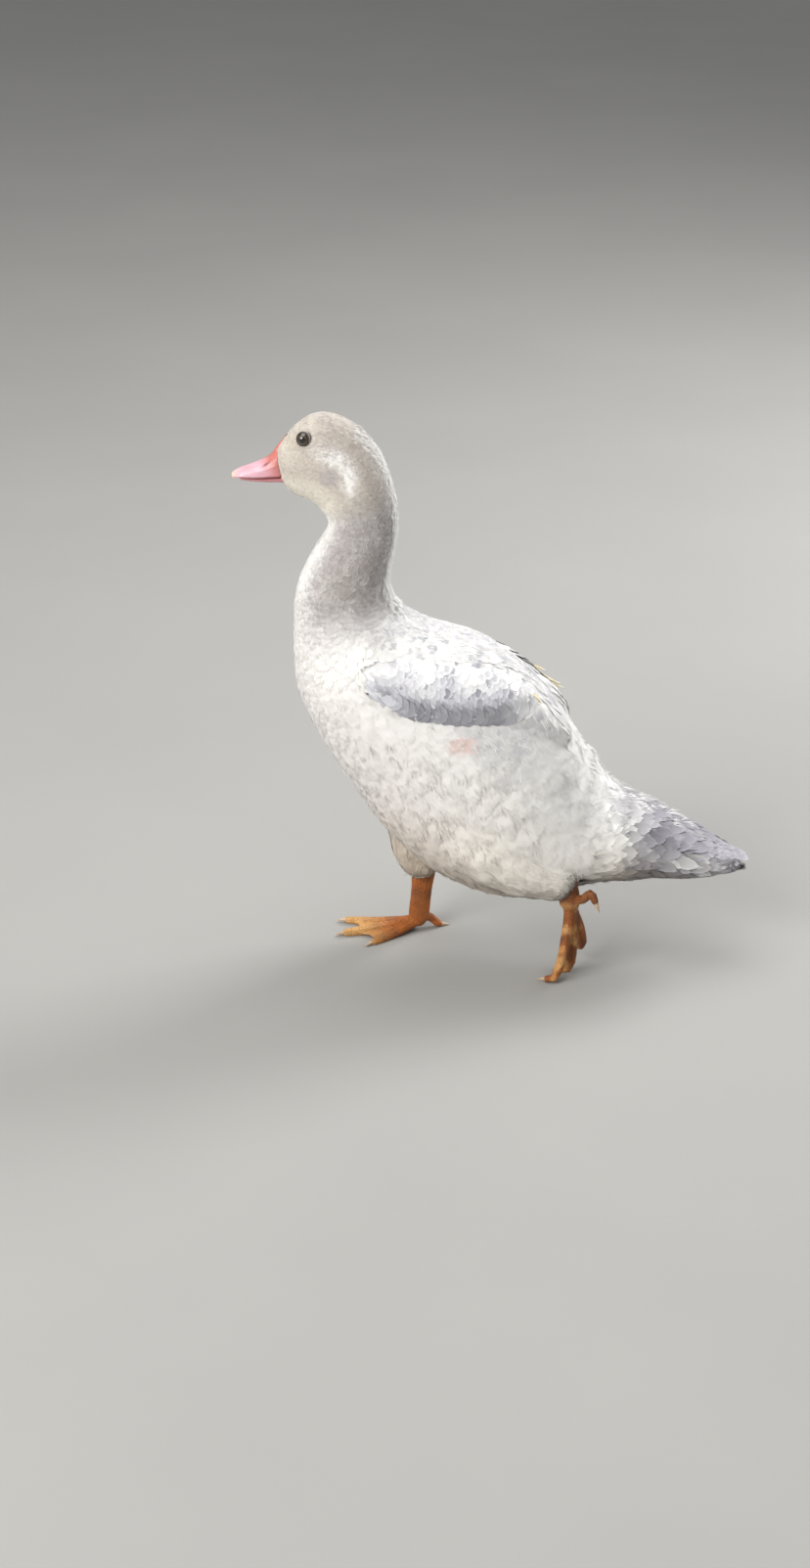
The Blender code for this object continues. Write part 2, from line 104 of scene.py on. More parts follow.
def smooth_line(points, per_span):
    points = np.array(points, float)
    padded = np.vstack([2 * points[0] - points[1], points, 2 * points[-1] - points[-2]])
    found = []
    for before, start, end, after in zip(padded, padded[1:], padded[2:], padded[3:]):
        for t in np.arange(per_span) / per_span:
            bend = 2 * before - 5 * start + 4 * end - after
            twist = 3 * (start - end) + after - before
            found.append(start + 0.5 * t * (end - before + t * (bend + t * twist)))
    return np.array(found + [points[-1]])


def in_box(node, share_x, share_z):
    """A place in the middle plane of a node's box."""
    low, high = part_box(node)
    return tuple(low[k] + (high[k] - low[k]) * share for k, share in enumerate((share_x, 0.5, share_z)))


def corners_of(node):
    low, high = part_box(node)
    return np.array(low), np.array(high)


def middle_of(node):
    low, high = corners_of(node)
    return (low + high) / 2


LINE = smooth_line([in_box(node, x, z) for _, node, x, z in SPINE], STEPS_PER_SPAN)
LINE[:, 1] = 0.0
RUN = np.concatenate([[0], np.cumsum(np.linalg.norm(np.diff(LINE, axis=0), axis=1))])
MARK = {name: RUN[i * STEPS_PER_SPAN] for i, (name, *_) in enumerate(SPINE)}
WAY = unit(np.gradient(LINE, axis=0))
BACK = np.stack([-WAY[:, 2], 0 * WAY[:, 0], WAY[:, 0]], axis=1)   # towards crown, nape and back


def table(values, s):
    names = list(values)
    return np.interp(s, [MARK[name] for name in names], [values[name] for name in names])


def spine_place(points):
    """Run along the spine, angle round it and nearest sample of it. The angle is 0 at the back, + right."""
    nearest = np.concatenate([
        np.argmin(((part[:, None, :] - LINE[None]) ** 2).sum(2), axis=1)
        for part in np.array_split(points, max(1, len(points) // 4000))
    ])
    away = points - LINE[nearest]
    along = np.einsum("ij,ij->i", away, WAY[nearest])
    s = RUN[nearest] + along
    theta = np.arctan2(away[:, 1], np.einsum("ij,ij->i", away, BACK[nearest]))
    return s, theta, nearest


# ---------------------------------------------------------------- meshes

def mesh_object(name, points, faces, material, tint=None, vane=None, uv=None, normals=None):
    """An object from arrays. faces is a list of index arrays, one for each number of corners."""
    mesh = bpy.data.meshes.new(name)
    mesh.vertices.add(len(points))
    mesh.vertices.foreach_set("co", np.ascontiguousarray(points, np.float32).ravel())
    corners = np.concatenate([part.ravel() for part in faces])
    sizes = np.concatenate([np.full(len(part), part.shape[1]) for part in faces])
    mesh.loops.add(len(corners))
    mesh.loops.foreach_set("vertex_index", corners.astype(np.int32))
    mesh.polygons.add(len(sizes))
    mesh.polygons.foreach_set("loop_start", np.concatenate([[0], np.cumsum(sizes)[:-1]]).astype(np.int32))
    mesh.polygons.foreach_set("use_smooth", np.ones(len(sizes), bool))
    if uv is not None:
        layer = mesh.uv_layers.new(name="OFBake")
        layer.data.foreach_set("uv", uv[corners].astype(np.float32).ravel())
    for key, values in (("tint", tint), ("vane", vane)):
        if values is not None:
            set_colour(mesh, key, values)
    mesh.update(calc_edges=True)
    mesh.validate()
    if normals is not None:
        mesh.normals_split_custom_set_from_vertices(normals.astype(np.float32))
    mesh.materials.append(material)
    obj = bpy.data.objects.new(name, mesh)
    bpy.context.scene.collection.objects.link(obj)
    return obj


def set_colour(mesh, key, values):
    attribute = mesh.attributes.get(key) or mesh.attributes.new(key, "FLOAT_COLOR", "POINT")
    full = np.ones((len(mesh.vertices), 4), np.float32)
    full[:, :3] = values
    attribute.data.foreach_set("color", full.ravel())


def points_of(mesh):
    co = np.empty(len(mesh.vertices) * 3, np.float32)
    mesh.vertices.foreach_get("co", co)
    return co.reshape(-1, 3).astype(float)


def set_points(mesh, points):
    mesh.vertices.foreach_set("co", points.astype(np.float32).ravel())
    mesh.update()


def faces_of(mesh):
    return [tuple(face.vertices) for face in mesh.polygons]


def normals_of(mesh):
    found = np.empty(len(mesh.vertices) * 3, np.float32)
    mesh.vertex_normals.foreach_get("vector", found)
    return found.reshape(-1, 3).astype(float)


def grown_copy(nodes, grow, extra=()):
    """The CAD nodes' meshes in one, each made larger by grow, with extra closed meshes added."""
    whole = bmesh.new()
    for node in nodes:
        part = bmesh.new()
        part.from_mesh(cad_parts[node].data)
        bmesh.ops.remove_doubles(part, verts=part.verts, dist=1e-6)
        bmesh.ops.recalc_face_normals(part, faces=part.faces)
        part.normal_update()
        for vert in part.verts:
            vert.co += vert.normal * grow
        held = bpy.data.meshes.new("held")
        part.to_mesh(held)
        part.free()
        whole.from_mesh(held)
        bpy.data.meshes.remove(held)
    for piece in extra:
        whole.from_mesh(piece)
    mesh = bpy.data.meshes.new("grown")
    whole.to_mesh(mesh)
    whole.free()
    return mesh


def remeshed(mesh, voxel, rounds):
    """The mesh rebuilt as one closed surface of even quads, unless voxel is 0, and smoothed."""
    obj = bpy.data.objects.new("remesh", mesh)
    bpy.context.scene.collection.objects.link(obj)
    if voxel:
        modifier = obj.modifiers.new("voxels", "REMESH")
        modifier.mode = "VOXEL"
        modifier.voxel_size = voxel
    softer = obj.modifiers.new("soften", "SMOOTH")
    softer.factor = 0.5
    softer.iterations = rounds
    made = bpy.data.meshes.new_from_object(obj.evaluated_get(bpy.context.evaluated_depsgraph_get()))
    bpy.data.objects.remove(obj)
    return made


def face_arrays(faces):
    """The faces as one index array for each number of corners."""
    sizes = sorted({len(face) for face in faces})
    return [np.array([face for face in faces if len(face) == size]) for size in sizes]


def grid_faces(rows, columns):
    """Quads between rings of points, one ring after another."""
    faces = []
    for row in range(rows - 1):
        for column in range(columns):
            a, b = row * columns + column, row * columns + (column + 1) % columns
            faces.append((a, b, b + columns, a + columns))
    return faces


def tube_mesh(name, stations, sides=16):
    """A closed round tube through stations (point, radius)."""
    line = np.array([point for point, _ in stations], float)
    ways = unit(np.gradient(line, axis=0))
    points = []
    for (centre, radius), way in zip(stations, ways):
        across = unit(np.cross(way, (0.13, 0.95, 0.21)))
        other = np.cross(way, across)
        angle = np.arange(sides) * 2 * PI / sides
        ring = np.outer(np.cos(angle), across) + np.outer(np.sin(angle), other)
        points += list(np.array(centre) + radius * ring)
    faces = grid_faces(len(stations), sides)
    faces += [tuple(range(sides)), tuple(range((len(stations) - 1) * sides, len(stations) * sides))]
    mesh = bpy.data.meshes.new(name)
    mesh.from_pydata([tuple(p) for p in points], [], faces)
    work = bmesh.new()
    work.from_mesh(mesh)
    bmesh.ops.recalc_face_normals(work, faces=work.faces)
    work.to_mesh(mesh)
    work.free()
    return mesh


def noise_at(places):
    return np.array([noise.noise(Vector(p)) for p in places.tolist()])


def grain(points, size, seed):
    """Smooth noise from -1 to 1, with bumps about size across."""
    return noise_at(points / size + np.array([seed, seed * 1.7, seed * 0.3]))


# ---------------------------------------------------------------- markings

WHITE = srgb(240, 238, 234)
BREAST = srgb(233, 228, 224)
CREAM = srgb(238, 232, 222)
# Painted shade under the belly, and deeper painted shade under its rear by the vent
BELLY_SHADE = srgb(182, 164, 142)
BELLY_REAR_SHADE = srgb(98, 86, 74)
BEIGE = srgb(200, 185, 166)
BARE = srgb(232, 196, 184)
BAR = srgb(180, 179, 184)

CROWN = srgb(178, 168, 159)
FACE = srgb(189, 181, 170)
LORE = srgb(176, 166, 148)
CHEEK = srgb(174, 167, 166)
THROAT = srgb(220, 213, 199)

NECK = srgb(164, 158, 157)
NECK_HIND = srgb(168, 162, 158)
NECK_DEEP = srgb(148, 141, 137)

COVERT = srgb(196, 196, 202)
COVERT_DARK = srgb(134, 134, 141)
CRESCENT = srgb(160, 162, 169)

TAIL = srgb(134, 131, 140)
TAIL_DARK = srgb(96, 92, 103)
TAIL_EDGE = srgb(184, 181, 188)
TAIL_UNDER_SHADE = srgb(76, 66, 57)
# Painted shade under the tail
TAIL_WARM = srgb(176, 166, 164)

BAR_SLANT = math.radians(22)
BAR_LONG = 0.0080
BAR_WIDE = 0.0042

# Places seen from the left, mirrored on the right: (x, z)
CHEEK_SPOT = (-0.1411, 0.4507)
PATCH_SPOT = (-0.0390, 0.2425)
BROW_SPOT = (-0.1610, 0.4890)
LORE_SPOT = (-0.1700, 0.4740)
FLUFF_SPOTS = [(-0.052, 0.206, 0.016), (-0.012, 0.196, 0.020), (-0.050, 0.160, 0.020),
               (0.010, 0.165, 0.018), (0.050, 0.190, 0.016), (-0.020, 0.130, 0.018),
               (0.080, 0.140, 0.018)]    # and reach
WING_LOWER = [(-0.1220, 0.290), (-0.1130, 0.280), (-0.1030, 0.272), (-0.0835, 0.262), (-0.059, 0.255),
              (-0.034, 0.251), (-0.005, 0.251), (0.020, 0.253), (0.040, 0.258), (0.056, 0.264)]
WING_UPPER = [(-0.1220, 0.296), (-0.108, 0.310), (-0.088, 0.315), (-0.055, 0.311), (-0.022, 0.305),
              (0.012, 0.293), (0.034, 0.281), (0.056, 0.270)]


def wing_share(points):
    """0 at the wing's lower edge to 1 at its upper edge, and how surely a point lies on the wing."""
    x, z = points[:, 0], points[:, 2]
    low = np.interp(x, *np.array(WING_LOWER).T)
    high = np.interp(x, *np.array(WING_UPPER).T)
    share = (z - low) / np.maximum(high - low, 0.004)
    ahead = ease(-0.124, -0.112, x) * fade(0.044, 0.058, x)
    within = ahead * ease(0.04, 0.11, share) * fade(0.95, 1.30, share)
    return share, within * ease(0.010, 0.022, np.abs(points[:, 1]))


def mix(a, b, share):
    share = np.asarray(share)[:, None]
    return a * (1 - share) + b * share


# Half the thickness of the bird along the spine, to keep streaks equally wide all the way
GIRTH = {"face": 0.010, "eye": 0.022, "mid_neck": 0.026, "belly": 0.07, "tip": 0.03}


def streaks(s, theta, along, across, seed):
    """Noise from -1 to 1 drawn out along the lie of the coat."""
    girth = table(GIRTH, s)
    round_it = girth / across
    places = np.stack([s / along + seed, np.cos(theta) * round_it, np.sin(theta) * round_it + seed], 1)
    return noise_at(places) * 1.6


def slanted_bars(x, z):
    """Short grey bars over the upper wing, slanting down towards the tail: above 0 on a bar."""
    along = (x * math.cos(BAR_SLANT) - z * math.sin(BAR_SLANT)) / BAR_LONG
    across = (x * math.sin(BAR_SLANT) + z * math.cos(BAR_SLANT)) / BAR_WIDE
    return noise_at(np.stack([along, across, np.full(len(x), 5.5)], 1)) * 2.0


def fluff_share(points):
    """How fluffy the coat is: most in tufts on the flank and near the vent."""
    x, _, z = points.T
    share = np.zeros(len(points))
    for middle_x, middle_z, size in FLUFF_SPOTS:
        share = np.maximum(share, bump(np.hypot(x - middle_x, z - middle_z), 0, size))
    return share


class Places:
    """What the markings depend on, at each of the points."""

    def __init__(self, points):
        self.x, self.y, self.z = points.T
        self.s, self.theta, _ = spine_place(points)
        self.turn = np.abs(self.theta) / PI         # 0 along crown, nape and back, 1 along throat and belly
        self.broad = grain(points, 0.022, 3.0)
        self.fine = grain(points, 0.0045, 8.0)
        self.streak = streaks(self.s, self.theta, 0.011, 0.0032, 4.0)
        self.share, wing = wing_share(points)
        self.wing = ease(0.74, 0.95, wing)
        self.head = fade(MARK["throat"] - 0.010, MARK["upper_neck"] - 0.002, self.s)
        self.neck = self.along("nape", "upper_neck", -0.004, -0.008)
        self.neck = self.neck * fade(MARK["lower_neck"] - 0.012, MARK["neck_base"] + 0.012, self.s)
        self.rear = ease(MARK["rump"] + 0.022, MARK["vent"] + 0.014, self.s + 0.012 * self.broad)

    def along(self, first, last, past_first=0.0, past_last=0.0):
        """Rises from 0 to 1 between two places on the spine."""
        return ease(MARK[first] + past_first, MARK[last] + past_last, self.s)

    def before(self, first, last, past_first=0.0):
        """Falls from 1 to 0 between two places on the spine."""
        return 1 - self.along(first, last, past_first)

    def off(self, spot, stretch=1.0):
        """How far the points are from a spot on the side, with x divided by stretch."""
        return np.hypot((self.x - spot[0]) / stretch, self.z - spot[1])

    def crown(self):
        """How strongly crown and nape are mottled."""
        mottled = fade(0.26 + 0.06 * self.broad, 0.50 + 0.06 * self.broad, self.turn + 0.10 * self.streak)
        forward = self.along("face", "eye", 0.004, 0.010) * (1 - 0.40 * self.along("crown", "throat"))
        return mottled * forward

    def wing_grey(self):
        """How grey the wing is: more towards its lower edge and its front."""
        return fade(0.22, 0.78, self.share + 0.22 * self.broad) * (1 - 0.70 * ease(-0.014, 0.020, self.x))

    def tail_under(self):
        """1 under the tail, 0 above it."""
        return ease(0.50, 0.64, self.turn)


def painted(ground, *layers):
    """A ground colour under layers of (tint, share)."""
    for tint, share in layers:
        ground = mix(ground, tint, share)
    return ground


def body_colour(at):
    """White, with a pale breast and flank, and painted shade under the belly: grey-beige, darker towards the
    rear.
    """
    return painted(np.tile(WHITE, (len(at.x), 1)),
                   (BREAST, ease(0.45, 0.75, at.turn) * at.along("mid_neck", "breast")),
                   (CREAM, ease(0.35, 0.6, at.turn) * at.along("ribcage", "loin")),
                   # painted shade on the underside, darkest towards the vent
                   (BELLY_SHADE, ease(0.60, 0.90, at.turn) * at.along("breast", "loin") * 0.85),
                   (BELLY_REAR_SHADE, ease(0.48, 0.72, at.turn) * at.along("belly", "vent") * 0.75))


def head_colour(at):
    """Mottled grey crown and nape, pale face, cream throat, a grey cheek with white flecks behind it."""
    cheek = at.off(CHEEK_SPOT) + 0.0016 * at.fine
    behind = ease(-0.004, 0.012, (at.x - CHEEK_SPOT[0]) + 0.8 * (at.z - CHEEK_SPOT[1]))
    flecks = bump(cheek, 0.0165, 0.0065) * behind * (0.85 + 0.9 * at.fine)
    return painted(np.tile(FACE, (len(at.x), 1)),
                   (CROWN, clamp(at.crown() * (0.62 + 0.95 * at.streak + 0.65 * at.fine))),
                   (THROAT, ease(0.58, 0.80, at.turn)),
                   (WHITE, clamp(flecks)),
                   (CHEEK, fade(0.0040, 0.0110, cheek) * (0.75 + 0.3 * at.fine)),
                   (FACE * 1.06, fade(0.004, 0.009, at.off(BROW_SPOT, 1.5)) * 0.7),
                   (LORE, fade(0.002, 0.007, at.off(LORE_SPOT, 1.4)) * 0.5))


def neck_colour(at):
    """Grey, a little lighter in streaks behind, darker in a band low down, white in front."""
    hind = fade(0.20, 0.58, at.turn) * (0.35 + 0.45 * at.streak)
    band = bump(at.s, MARK["mid_neck"] + 0.010, 0.026) * fade(0.50, 0.80, at.turn)
    return painted(np.tile(NECK, (len(at.x), 1)),
                   (NECK_HIND, clamp(hind)),
                   (NECK_DEEP, clamp(band * (0.70 + 0.30 * at.broad + 0.25 * at.streak))),
                   (WHITE, ease(0.68, 0.92, at.turn) * 0.85),
                   (WHITE, clamp(0.5 * streaks(at.s, at.theta, 0.016, 0.005, 13.0)) * 0.6))


def wing_colour(at):
    """White above, grey below, darkest along the lower edge."""
    edge = fade(0.04, 0.34, at.share) * ease(-0.112, -0.075, at.x) * fade(-0.012, 0.012, at.x)
    return painted(np.tile(WHITE, (len(at.x), 1)), (COVERT, at.wing_grey()), (COVERT_DARK, edge * 0.9))


def tail_colour(at):
    """Lavender-grey above and brown painted shade below, with a white line between them."""
    line = bump(at.turn, 0.46, 0.05) * at.along("vent", "coverts")
    # brown painted shade under the tail
    return painted(np.tile(TAIL, (len(at.x), 1)), (TAIL_UNDER_SHADE, at.tail_under()),
                   (TAIL_WARM, clamp(at.broad) * 0.4), (WHITE, line * 0.7))


def feather_marks(at):
    """The darker colour of the marks of single feathers, and how strong they are."""
    mantle = fade(0.30, 0.46, at.turn) * at.along("lower_neck", "neck_base") * at.before("ribcage", "belly")
    breast = ease(0.30, 0.55, at.turn) * at.along("mid_neck", "neck_base")
    breast = breast * at.before("breast", "belly", 0.01)
    bars = clamp(slanted_bars(at.x, at.z) * 1.6)
    strengths = [0.60 * mantle * (1 - at.wing) + 0.12 * breast, 0.40 * at.head * at.crown(),
                 0.45 * at.neck * fade(0.6, 0.85, at.turn), at.wing * (0.15 + 0.60 * bars),
                 0.50 * at.rear * (1 - 0.7 * at.tail_under())]
    dark = painted(np.tile(BAR, (len(at.x), 1)), (NECK_DEEP, clamp(np.maximum(at.head, at.neck))),
                   (CRESCENT, at.wing), (COVERT_DARK, at.wing * at.wing_grey()), (TAIL_DARK, at.rear))
    return dark, clamp(np.max(strengths, axis=0))


def plumage(points):
    """Colour of the plumage, the darker colour of its marks, and how strong those are at each point."""
    at = Places(points)
    # nape: white along the top of the head, nape and hind neck, a painted highlight of the rim lit from
    # behind
    nape = bump(at.theta, 0, 0.42) * at.along("crown", "nape") * at.before("neck_base", "shoulder")
    flank = ease(0.2, 0.4, at.turn) * at.along("breast", "belly") * (1 - at.rear)
    patch = fade(0.002, 0.0095, at.off(PATCH_SPOT, 1.7) + 0.002 * at.fine) * (at.y < 0)
    colour = painted(body_colour(at),
                     (head_colour(at), at.head),
                     (neck_colour(at), clamp(at.neck) * 0.95),
                     # painted highlight of the back-lit rim along the nape
                     (WHITE, nape * 0.95),
                     (wing_colour(at), at.wing),
                     (tail_colour(at), at.rear * 0.95),
                     (BEIGE, clamp(at.broad * 1.3 - 0.15) * flank * 0.28),
                     (BARE, patch * 0.8))
    return colour, *feather_marks(at)


# ---------------------------------------------------------------- materials

def shader_of(name, roughness, **sockets):
    material = bpy.data.materials.new(name)
    material.use_nodes = True
    shader = material.node_tree.nodes["Principled BSDF"]
    shader.inputs["Roughness"].default_value = roughness
    for key, value in sockets.items():
        shader.inputs[key.replace("_", " ")].default_value = value
    return material, material.node_tree, shader


def node(tree, kind, inputs=(), **settings):
    made = tree.nodes.new(kind)
    for key, value in settings.items():
        setattr(made, key, value)
    for key, value in inputs:
        if isinstance(value, bpy.types.NodeSocket):
            tree.links.new(value, made.inputs[key])
        else:
            made.inputs[key].default_value = value
    return made


def pattern(tree, kind, scale, output="Fac", place=None, detail=None, **settings):
    """The output of a procedural texture laid out in the object's own space, or in that of place."""
    place = place or node(tree, "ShaderNodeTexCoord").outputs["Object"]
    inputs = [("Vector", place), ("Scale", scale)] + ([("Detail", detail)] if detail else [])
    return node(tree, f"ShaderNodeTex{kind}", inputs, **settings).outputs[output]


def tinted(tree, shader, low, high, factor):
    """Colours by the tint attribute, made darker and lighter between two shares by the factor."""
    tint = node(tree, "ShaderNodeAttribute", attribute_name="tint")
    level = node(tree, "ShaderNodeMapRange", [("Value", factor), ("To Min", low), ("To Max", high)])
    colour = node(tree, "ShaderNodeVectorMath", [(0, tint.outputs["Color"]), (1, level.outputs[0])],
                  operation="MULTIPLY")
    tree.links.new(colour.outputs[0], shader.inputs["Base Color"])


def roughened(tree, shader, low, high, factor):
    rough = node(tree, "ShaderNodeMapRange", [("Value", factor), ("To Min", low), ("To Max", high)])
    tree.links.new(rough.outputs[0], shader.inputs["Roughness"])


def raised(tree, shader, strength, distance, height):
    relief = node(tree, "ShaderNodeBump",
                  [("Strength", strength), ("Distance", distance), ("Height", height)])
    tree.links.new(relief.outputs[0], shader.inputs["Normal"])


def feather_material(name, barb_contrast, barb_bump):
    """Plumage: barbs run out from the shaft along each vane, over mottling at two scales."""
    material, tree, shader = shader_of(name, 0.78, Sheen_Weight=0.25, Sheen_Roughness=0.5, IOR=1.4)
    vane = node(tree, "ShaderNodeAttribute", attribute_name="vane").outputs["Vector"]
    barbs = node(tree, "ShaderNodeTexWave", [("Vector", vane), ("Scale", 900.0), ("Distortion", 2.0),
                                             ("Detail", 2.0), ("Detail Scale", 1.5)],
                 bands_direction="DIAGONAL").outputs["Fac"]
    soft = pattern(tree, "Noise", 260.0, detail=4.0)
    both = node(tree, "ShaderNodeMix", [("Factor", 0.5), ("A", barbs), ("B", soft)])
    tinted(tree, shader, 1 - barb_contrast, 1 + barb_contrast * 0.4, both.outputs[0])
    roughened(tree, shader, 0.68, 0.88, soft)
    raised(tree, shader, barb_bump, 0.0004, barbs)
    return material


def skin_material():
    """Feathered skin: the same markings, with the pimples that feathers grow from."""
    material, tree, shader = shader_of("skin_plumage", 0.85)
    tinted(tree, shader, 0.80, 1.05, pattern(tree, "Noise", 700.0, detail=5.0))
    raised(tree, shader, 0.5, 0.0006, pattern(tree, "Voronoi", 420.0, "Distance"))
    return material


def leg_material():
    """Scaly leg: plates with dark seams, over orange that turns browner in patches."""
    material, tree, shader = shader_of("leg_scales", 0.5, Specular_IOR_Level=0.4)
    plates = pattern(tree, "Voronoi", 520.0, "Distance", feature="DISTANCE_TO_EDGE")
    edge = node(tree, "ShaderNodeMapRange", [("Value", plates), ("From Max", 0.16)]).outputs[0]
    stain = pattern(tree, "Noise", 90.0, detail=6.0)
    both = node(tree, "ShaderNodeMath", [(0, edge), (1, stain)], operation="MULTIPLY")
    tinted(tree, shader, 0.55, 1.65, both.outputs[0])
    roughened(tree, shader, 0.38, 0.62, stain)
    raised(tree, shader, 0.7, 0.0005, edge)
    return material


def bill_material(name, roughness):
    """Bill skin: fine pits and streaks along its length, over its own colours."""
    material, tree, shader = shader_of(name, roughness, Subsurface_Weight=0.06, Subsurface_Scale=0.0012,
                                       Coat_Weight=0.15, Coat_Roughness=0.35)
    place = node(tree, "ShaderNodeTexCoord").outputs["Object"]
    stretched = node(tree, "ShaderNodeMapping", [("Vector", place), ("Scale", (0.35, 1.0, 1.0))])
    lines = pattern(tree, "Noise", 480.0, place=stretched.outputs[0], detail=4.0)
    tinted(tree, shader, 0.86, 1.12, lines)
    roughened(tree, shader, roughness - 0.1, roughness + 0.12, lines)
    raised(tree, shader, 0.35, 0.0003, pattern(tree, "Voronoi", 900.0, "Distance"))
    return material


def eye_material():
    material, tree, shader = shader_of("eye_wet", 0.08, Coat_Weight=0.6, Coat_Roughness=0.03)
    tinted(tree, shader, 0.7, 1.4, pattern(tree, "Noise", 1400.0, detail=3.0))
    return material


def claw_material(side):
    material, tree, shader = shader_of(f"claw_horn_{side}", 0.35)
    tinted(tree, shader, 0.7, 1.2, pattern(tree, "Noise", 900.0, detail=3.0))
    return material


def floor_material():
    material, tree, shader = shader_of("studio_floor", 0.9)
    ramp = node(tree, "ShaderNodeMix", data_type="RGBA")
    tree.links.new(pattern(tree, "Noise", 3.0, detail=6.0), ramp.inputs[0])
    ramp.inputs[6].default_value = (0.28, 0.275, 0.262, 1)
    ramp.inputs[7].default_value = (0.32, 0.312, 0.295, 1)
    tree.links.new(ramp.outputs[2], shader.inputs["Base Color"])
    return material


# ---------------------------------------------------------------- skin

FLESH = ["head", "neck_upper", "neck_lower", "trunk", "rump", "tail",
         "wing_right", "wing_left", "thigh_right", "thigh_left"]
SKIN_VOXEL = 0.0022
LEG_VOXEL = 0.00075
FUSE = 0.0006               # how far neighbouring solids grow so that they melt into one
TAIL_CORE = 0.70            # thickness of the tail's fleshy core, as a share of the feathered tail's
STUMP_LENGTH = 0.006        # how far the fleshy tail runs on before it draws in
STUMP_SHORTER = 0.55
WING_FLESH = 0.0015         # how much closer to the feathers the wing's flesh lies

SIDES = {"right": 1, "left": -1}
SIDE_NAME = {1: "right", -1: "left"}


def shrunk(points):
    """Points of the solids moved inward by the depth of the coat over them."""
    s, _, nearest = spine_place(points)
    depth = table(COAT_DEPTH, s) - WING_FLESH * wing_share(points)[1]
    away = points - LINE[nearest]
    along = np.einsum("ij,ij->i", away, WAY[nearest])[:, None] * WAY[nearest]
    radial = away - along
    far = np.linalg.norm(radial, axis=1)
    keep = np.maximum(1 - depth / np.maximum(far, 1e-6), 0.35)
    return LINE[nearest] + along + radial * keep[:, None]


def with_stump(points):
    """The same surface with a fleshy tail that is thinner and ends well before its feathers do."""
    s, _, nearest = spine_place(points)
    tail = ease(MARK["vent"], MARK["coverts"] + 0.01, s)
    keep = 1 - (1 - TAIL_CORE) * tail
    over = np.maximum(s - MARK["coverts"] - STUMP_LENGTH, 0) * STUMP_SHORTER
    return LINE[nearest] + (points - LINE[nearest]) * keep[:, None] - WAY[nearest] * over[:, None]


def skin_surface():
    """The surface that the coat is laid on, out to the tip of the tail."""
    mesh = remeshed(grown_copy(FLESH, FUSE), SKIN_VOXEL, 3)
    set_points(mesh, shrunk(points_of(mesh)))
    return remeshed(mesh, 0, 3)


SKIN = skin_surface()
SKIN_POINTS = points_of(SKIN)
SKIN_NORMALS = normals_of(SKIN)
SKIN_FACES = faces_of(SKIN)
SKIN_TREE = BVHTree.FromPolygons([tuple(p) for p in SKIN_POINTS], SKIN_FACES)
FACE_NORMALS = np.array([SKIN_NORMALS[list(face)].mean(0) for face in SKIN_FACES])
SKIN_RUN = spine_place(SKIN_POINTS)[0]


LEG_GROW = 0.0004           # how far shank and foot grow so that they melt into one
KNEE_OVERLAP = 0.004        # how far the shank and the bare leg inside the thigh run into each other
KNEE_REACH = 0.030          # how far that inner stretch runs on
KNEE_RADII = (0.0072, 0.0080, 0.0110)


def leg_mesh(side):
    """One leg's bare skin, from inside the thigh to the toes."""
    low, high = corners_of(f"shank_{side}")
    top = np.array([(low[0] + high[0]) / 2, (low[1] + high[1]) / 2, high[2] - KNEE_OVERLAP])
    inward = unit(LINE[np.argmin(((LINE - top) ** 2).sum(1))] - top)
    line = top - inward * KNEE_OVERLAP, top, top + inward * KNEE_REACH
    stick = tube_mesh("stick", list(zip(line, KNEE_RADII)))
    mesh = remeshed(grown_copy([f"shank_{side}", f"foot_{side}"], LEG_GROW, [stick]), LEG_VOXEL, 2)
    points = points_of(mesh)
    points[:, 2] = np.maximum(points[:, 2], 0)
    set_points(mesh, points)
    return mesh


LEG_ORANGE = srgb(172, 96, 34)
LEG_BROWN = srgb(112, 64, 30)
LEG_PALE = srgb(226, 180, 112)
WEB_BROWN = srgb(168, 104, 52)


def leg_tint(points, side):
    """Orange shank, paler toes, browner on the left leg and on the webs, and painted shade of the belly on
    the top of each shank.
    """
    x, _, z = points.T
    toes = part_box(f"foot_{side}")[0][0]
    blotch = grain(points, 0.010, 5.0)
    browner = 0.35 if side == "right" else 0.60
    if side == "right":
        out = ease(toes + 0.050, toes + 0.004, x)
        pale = out * 0.85
        belly_shadow = ease(0.050, 0.075, z)
    else:
        out = ease(0.030, 0.004, z)
        pale = ease(0.0, 0.35, grain(points, 0.012, 9.0)) * 0.5
        belly_shadow = ease(0.055, 0.080, z)
    # belly_shadow: painted shade cast by the belly on the top of the shank
    return painted(np.tile(LEG_ORANGE, (len(points), 1)),
                   (LEG_BROWN, clamp(browner + 0.7 * blotch) * 0.85), (LEG_PALE, pale),
                   (WEB_BROWN, 0.25 * out), (LEG_BROWN, belly_shadow * 0.75))


def mixed_marks(points):
    """The plumage's colours with the marks of single feathers blurred into them."""
    colour, dark, marks = plumage(points)
    return mix(colour, dark, marks * 0.45)


def joined_skin():
    """Body and legs as one object: the first material is feathered skin, the second is scales."""
    body = with_stump(SKIN_POINTS)
    points, tints, faces, slots = [body], [mixed_marks(body)], list(SKIN_FACES), [0] * len(SKIN_FACES)
    offset = len(body)
    for side in SIDES:
        mesh = leg_mesh(side)
        own = points_of(mesh)
        points.append(own)
        tints.append(leg_tint(own, side))
        faces += [tuple(offset + i for i in face) for face in faces_of(mesh)]
        slots += [1] * len(mesh.polygons)
        offset += len(own)
    order = sorted(range(len(faces)), key=lambda i: len(faces[i]))      # as face_arrays groups them
    obj = mesh_object("duck_skin", np.concatenate(points), face_arrays(faces), skin_material(),
                      np.concatenate(tints))
    obj.data.materials.append(leg_material())
    obj.data.polygons.foreach_set("material_index", np.array(slots, np.int32)[order])
    return obj


# ---------------------------------------------------------------- feathers

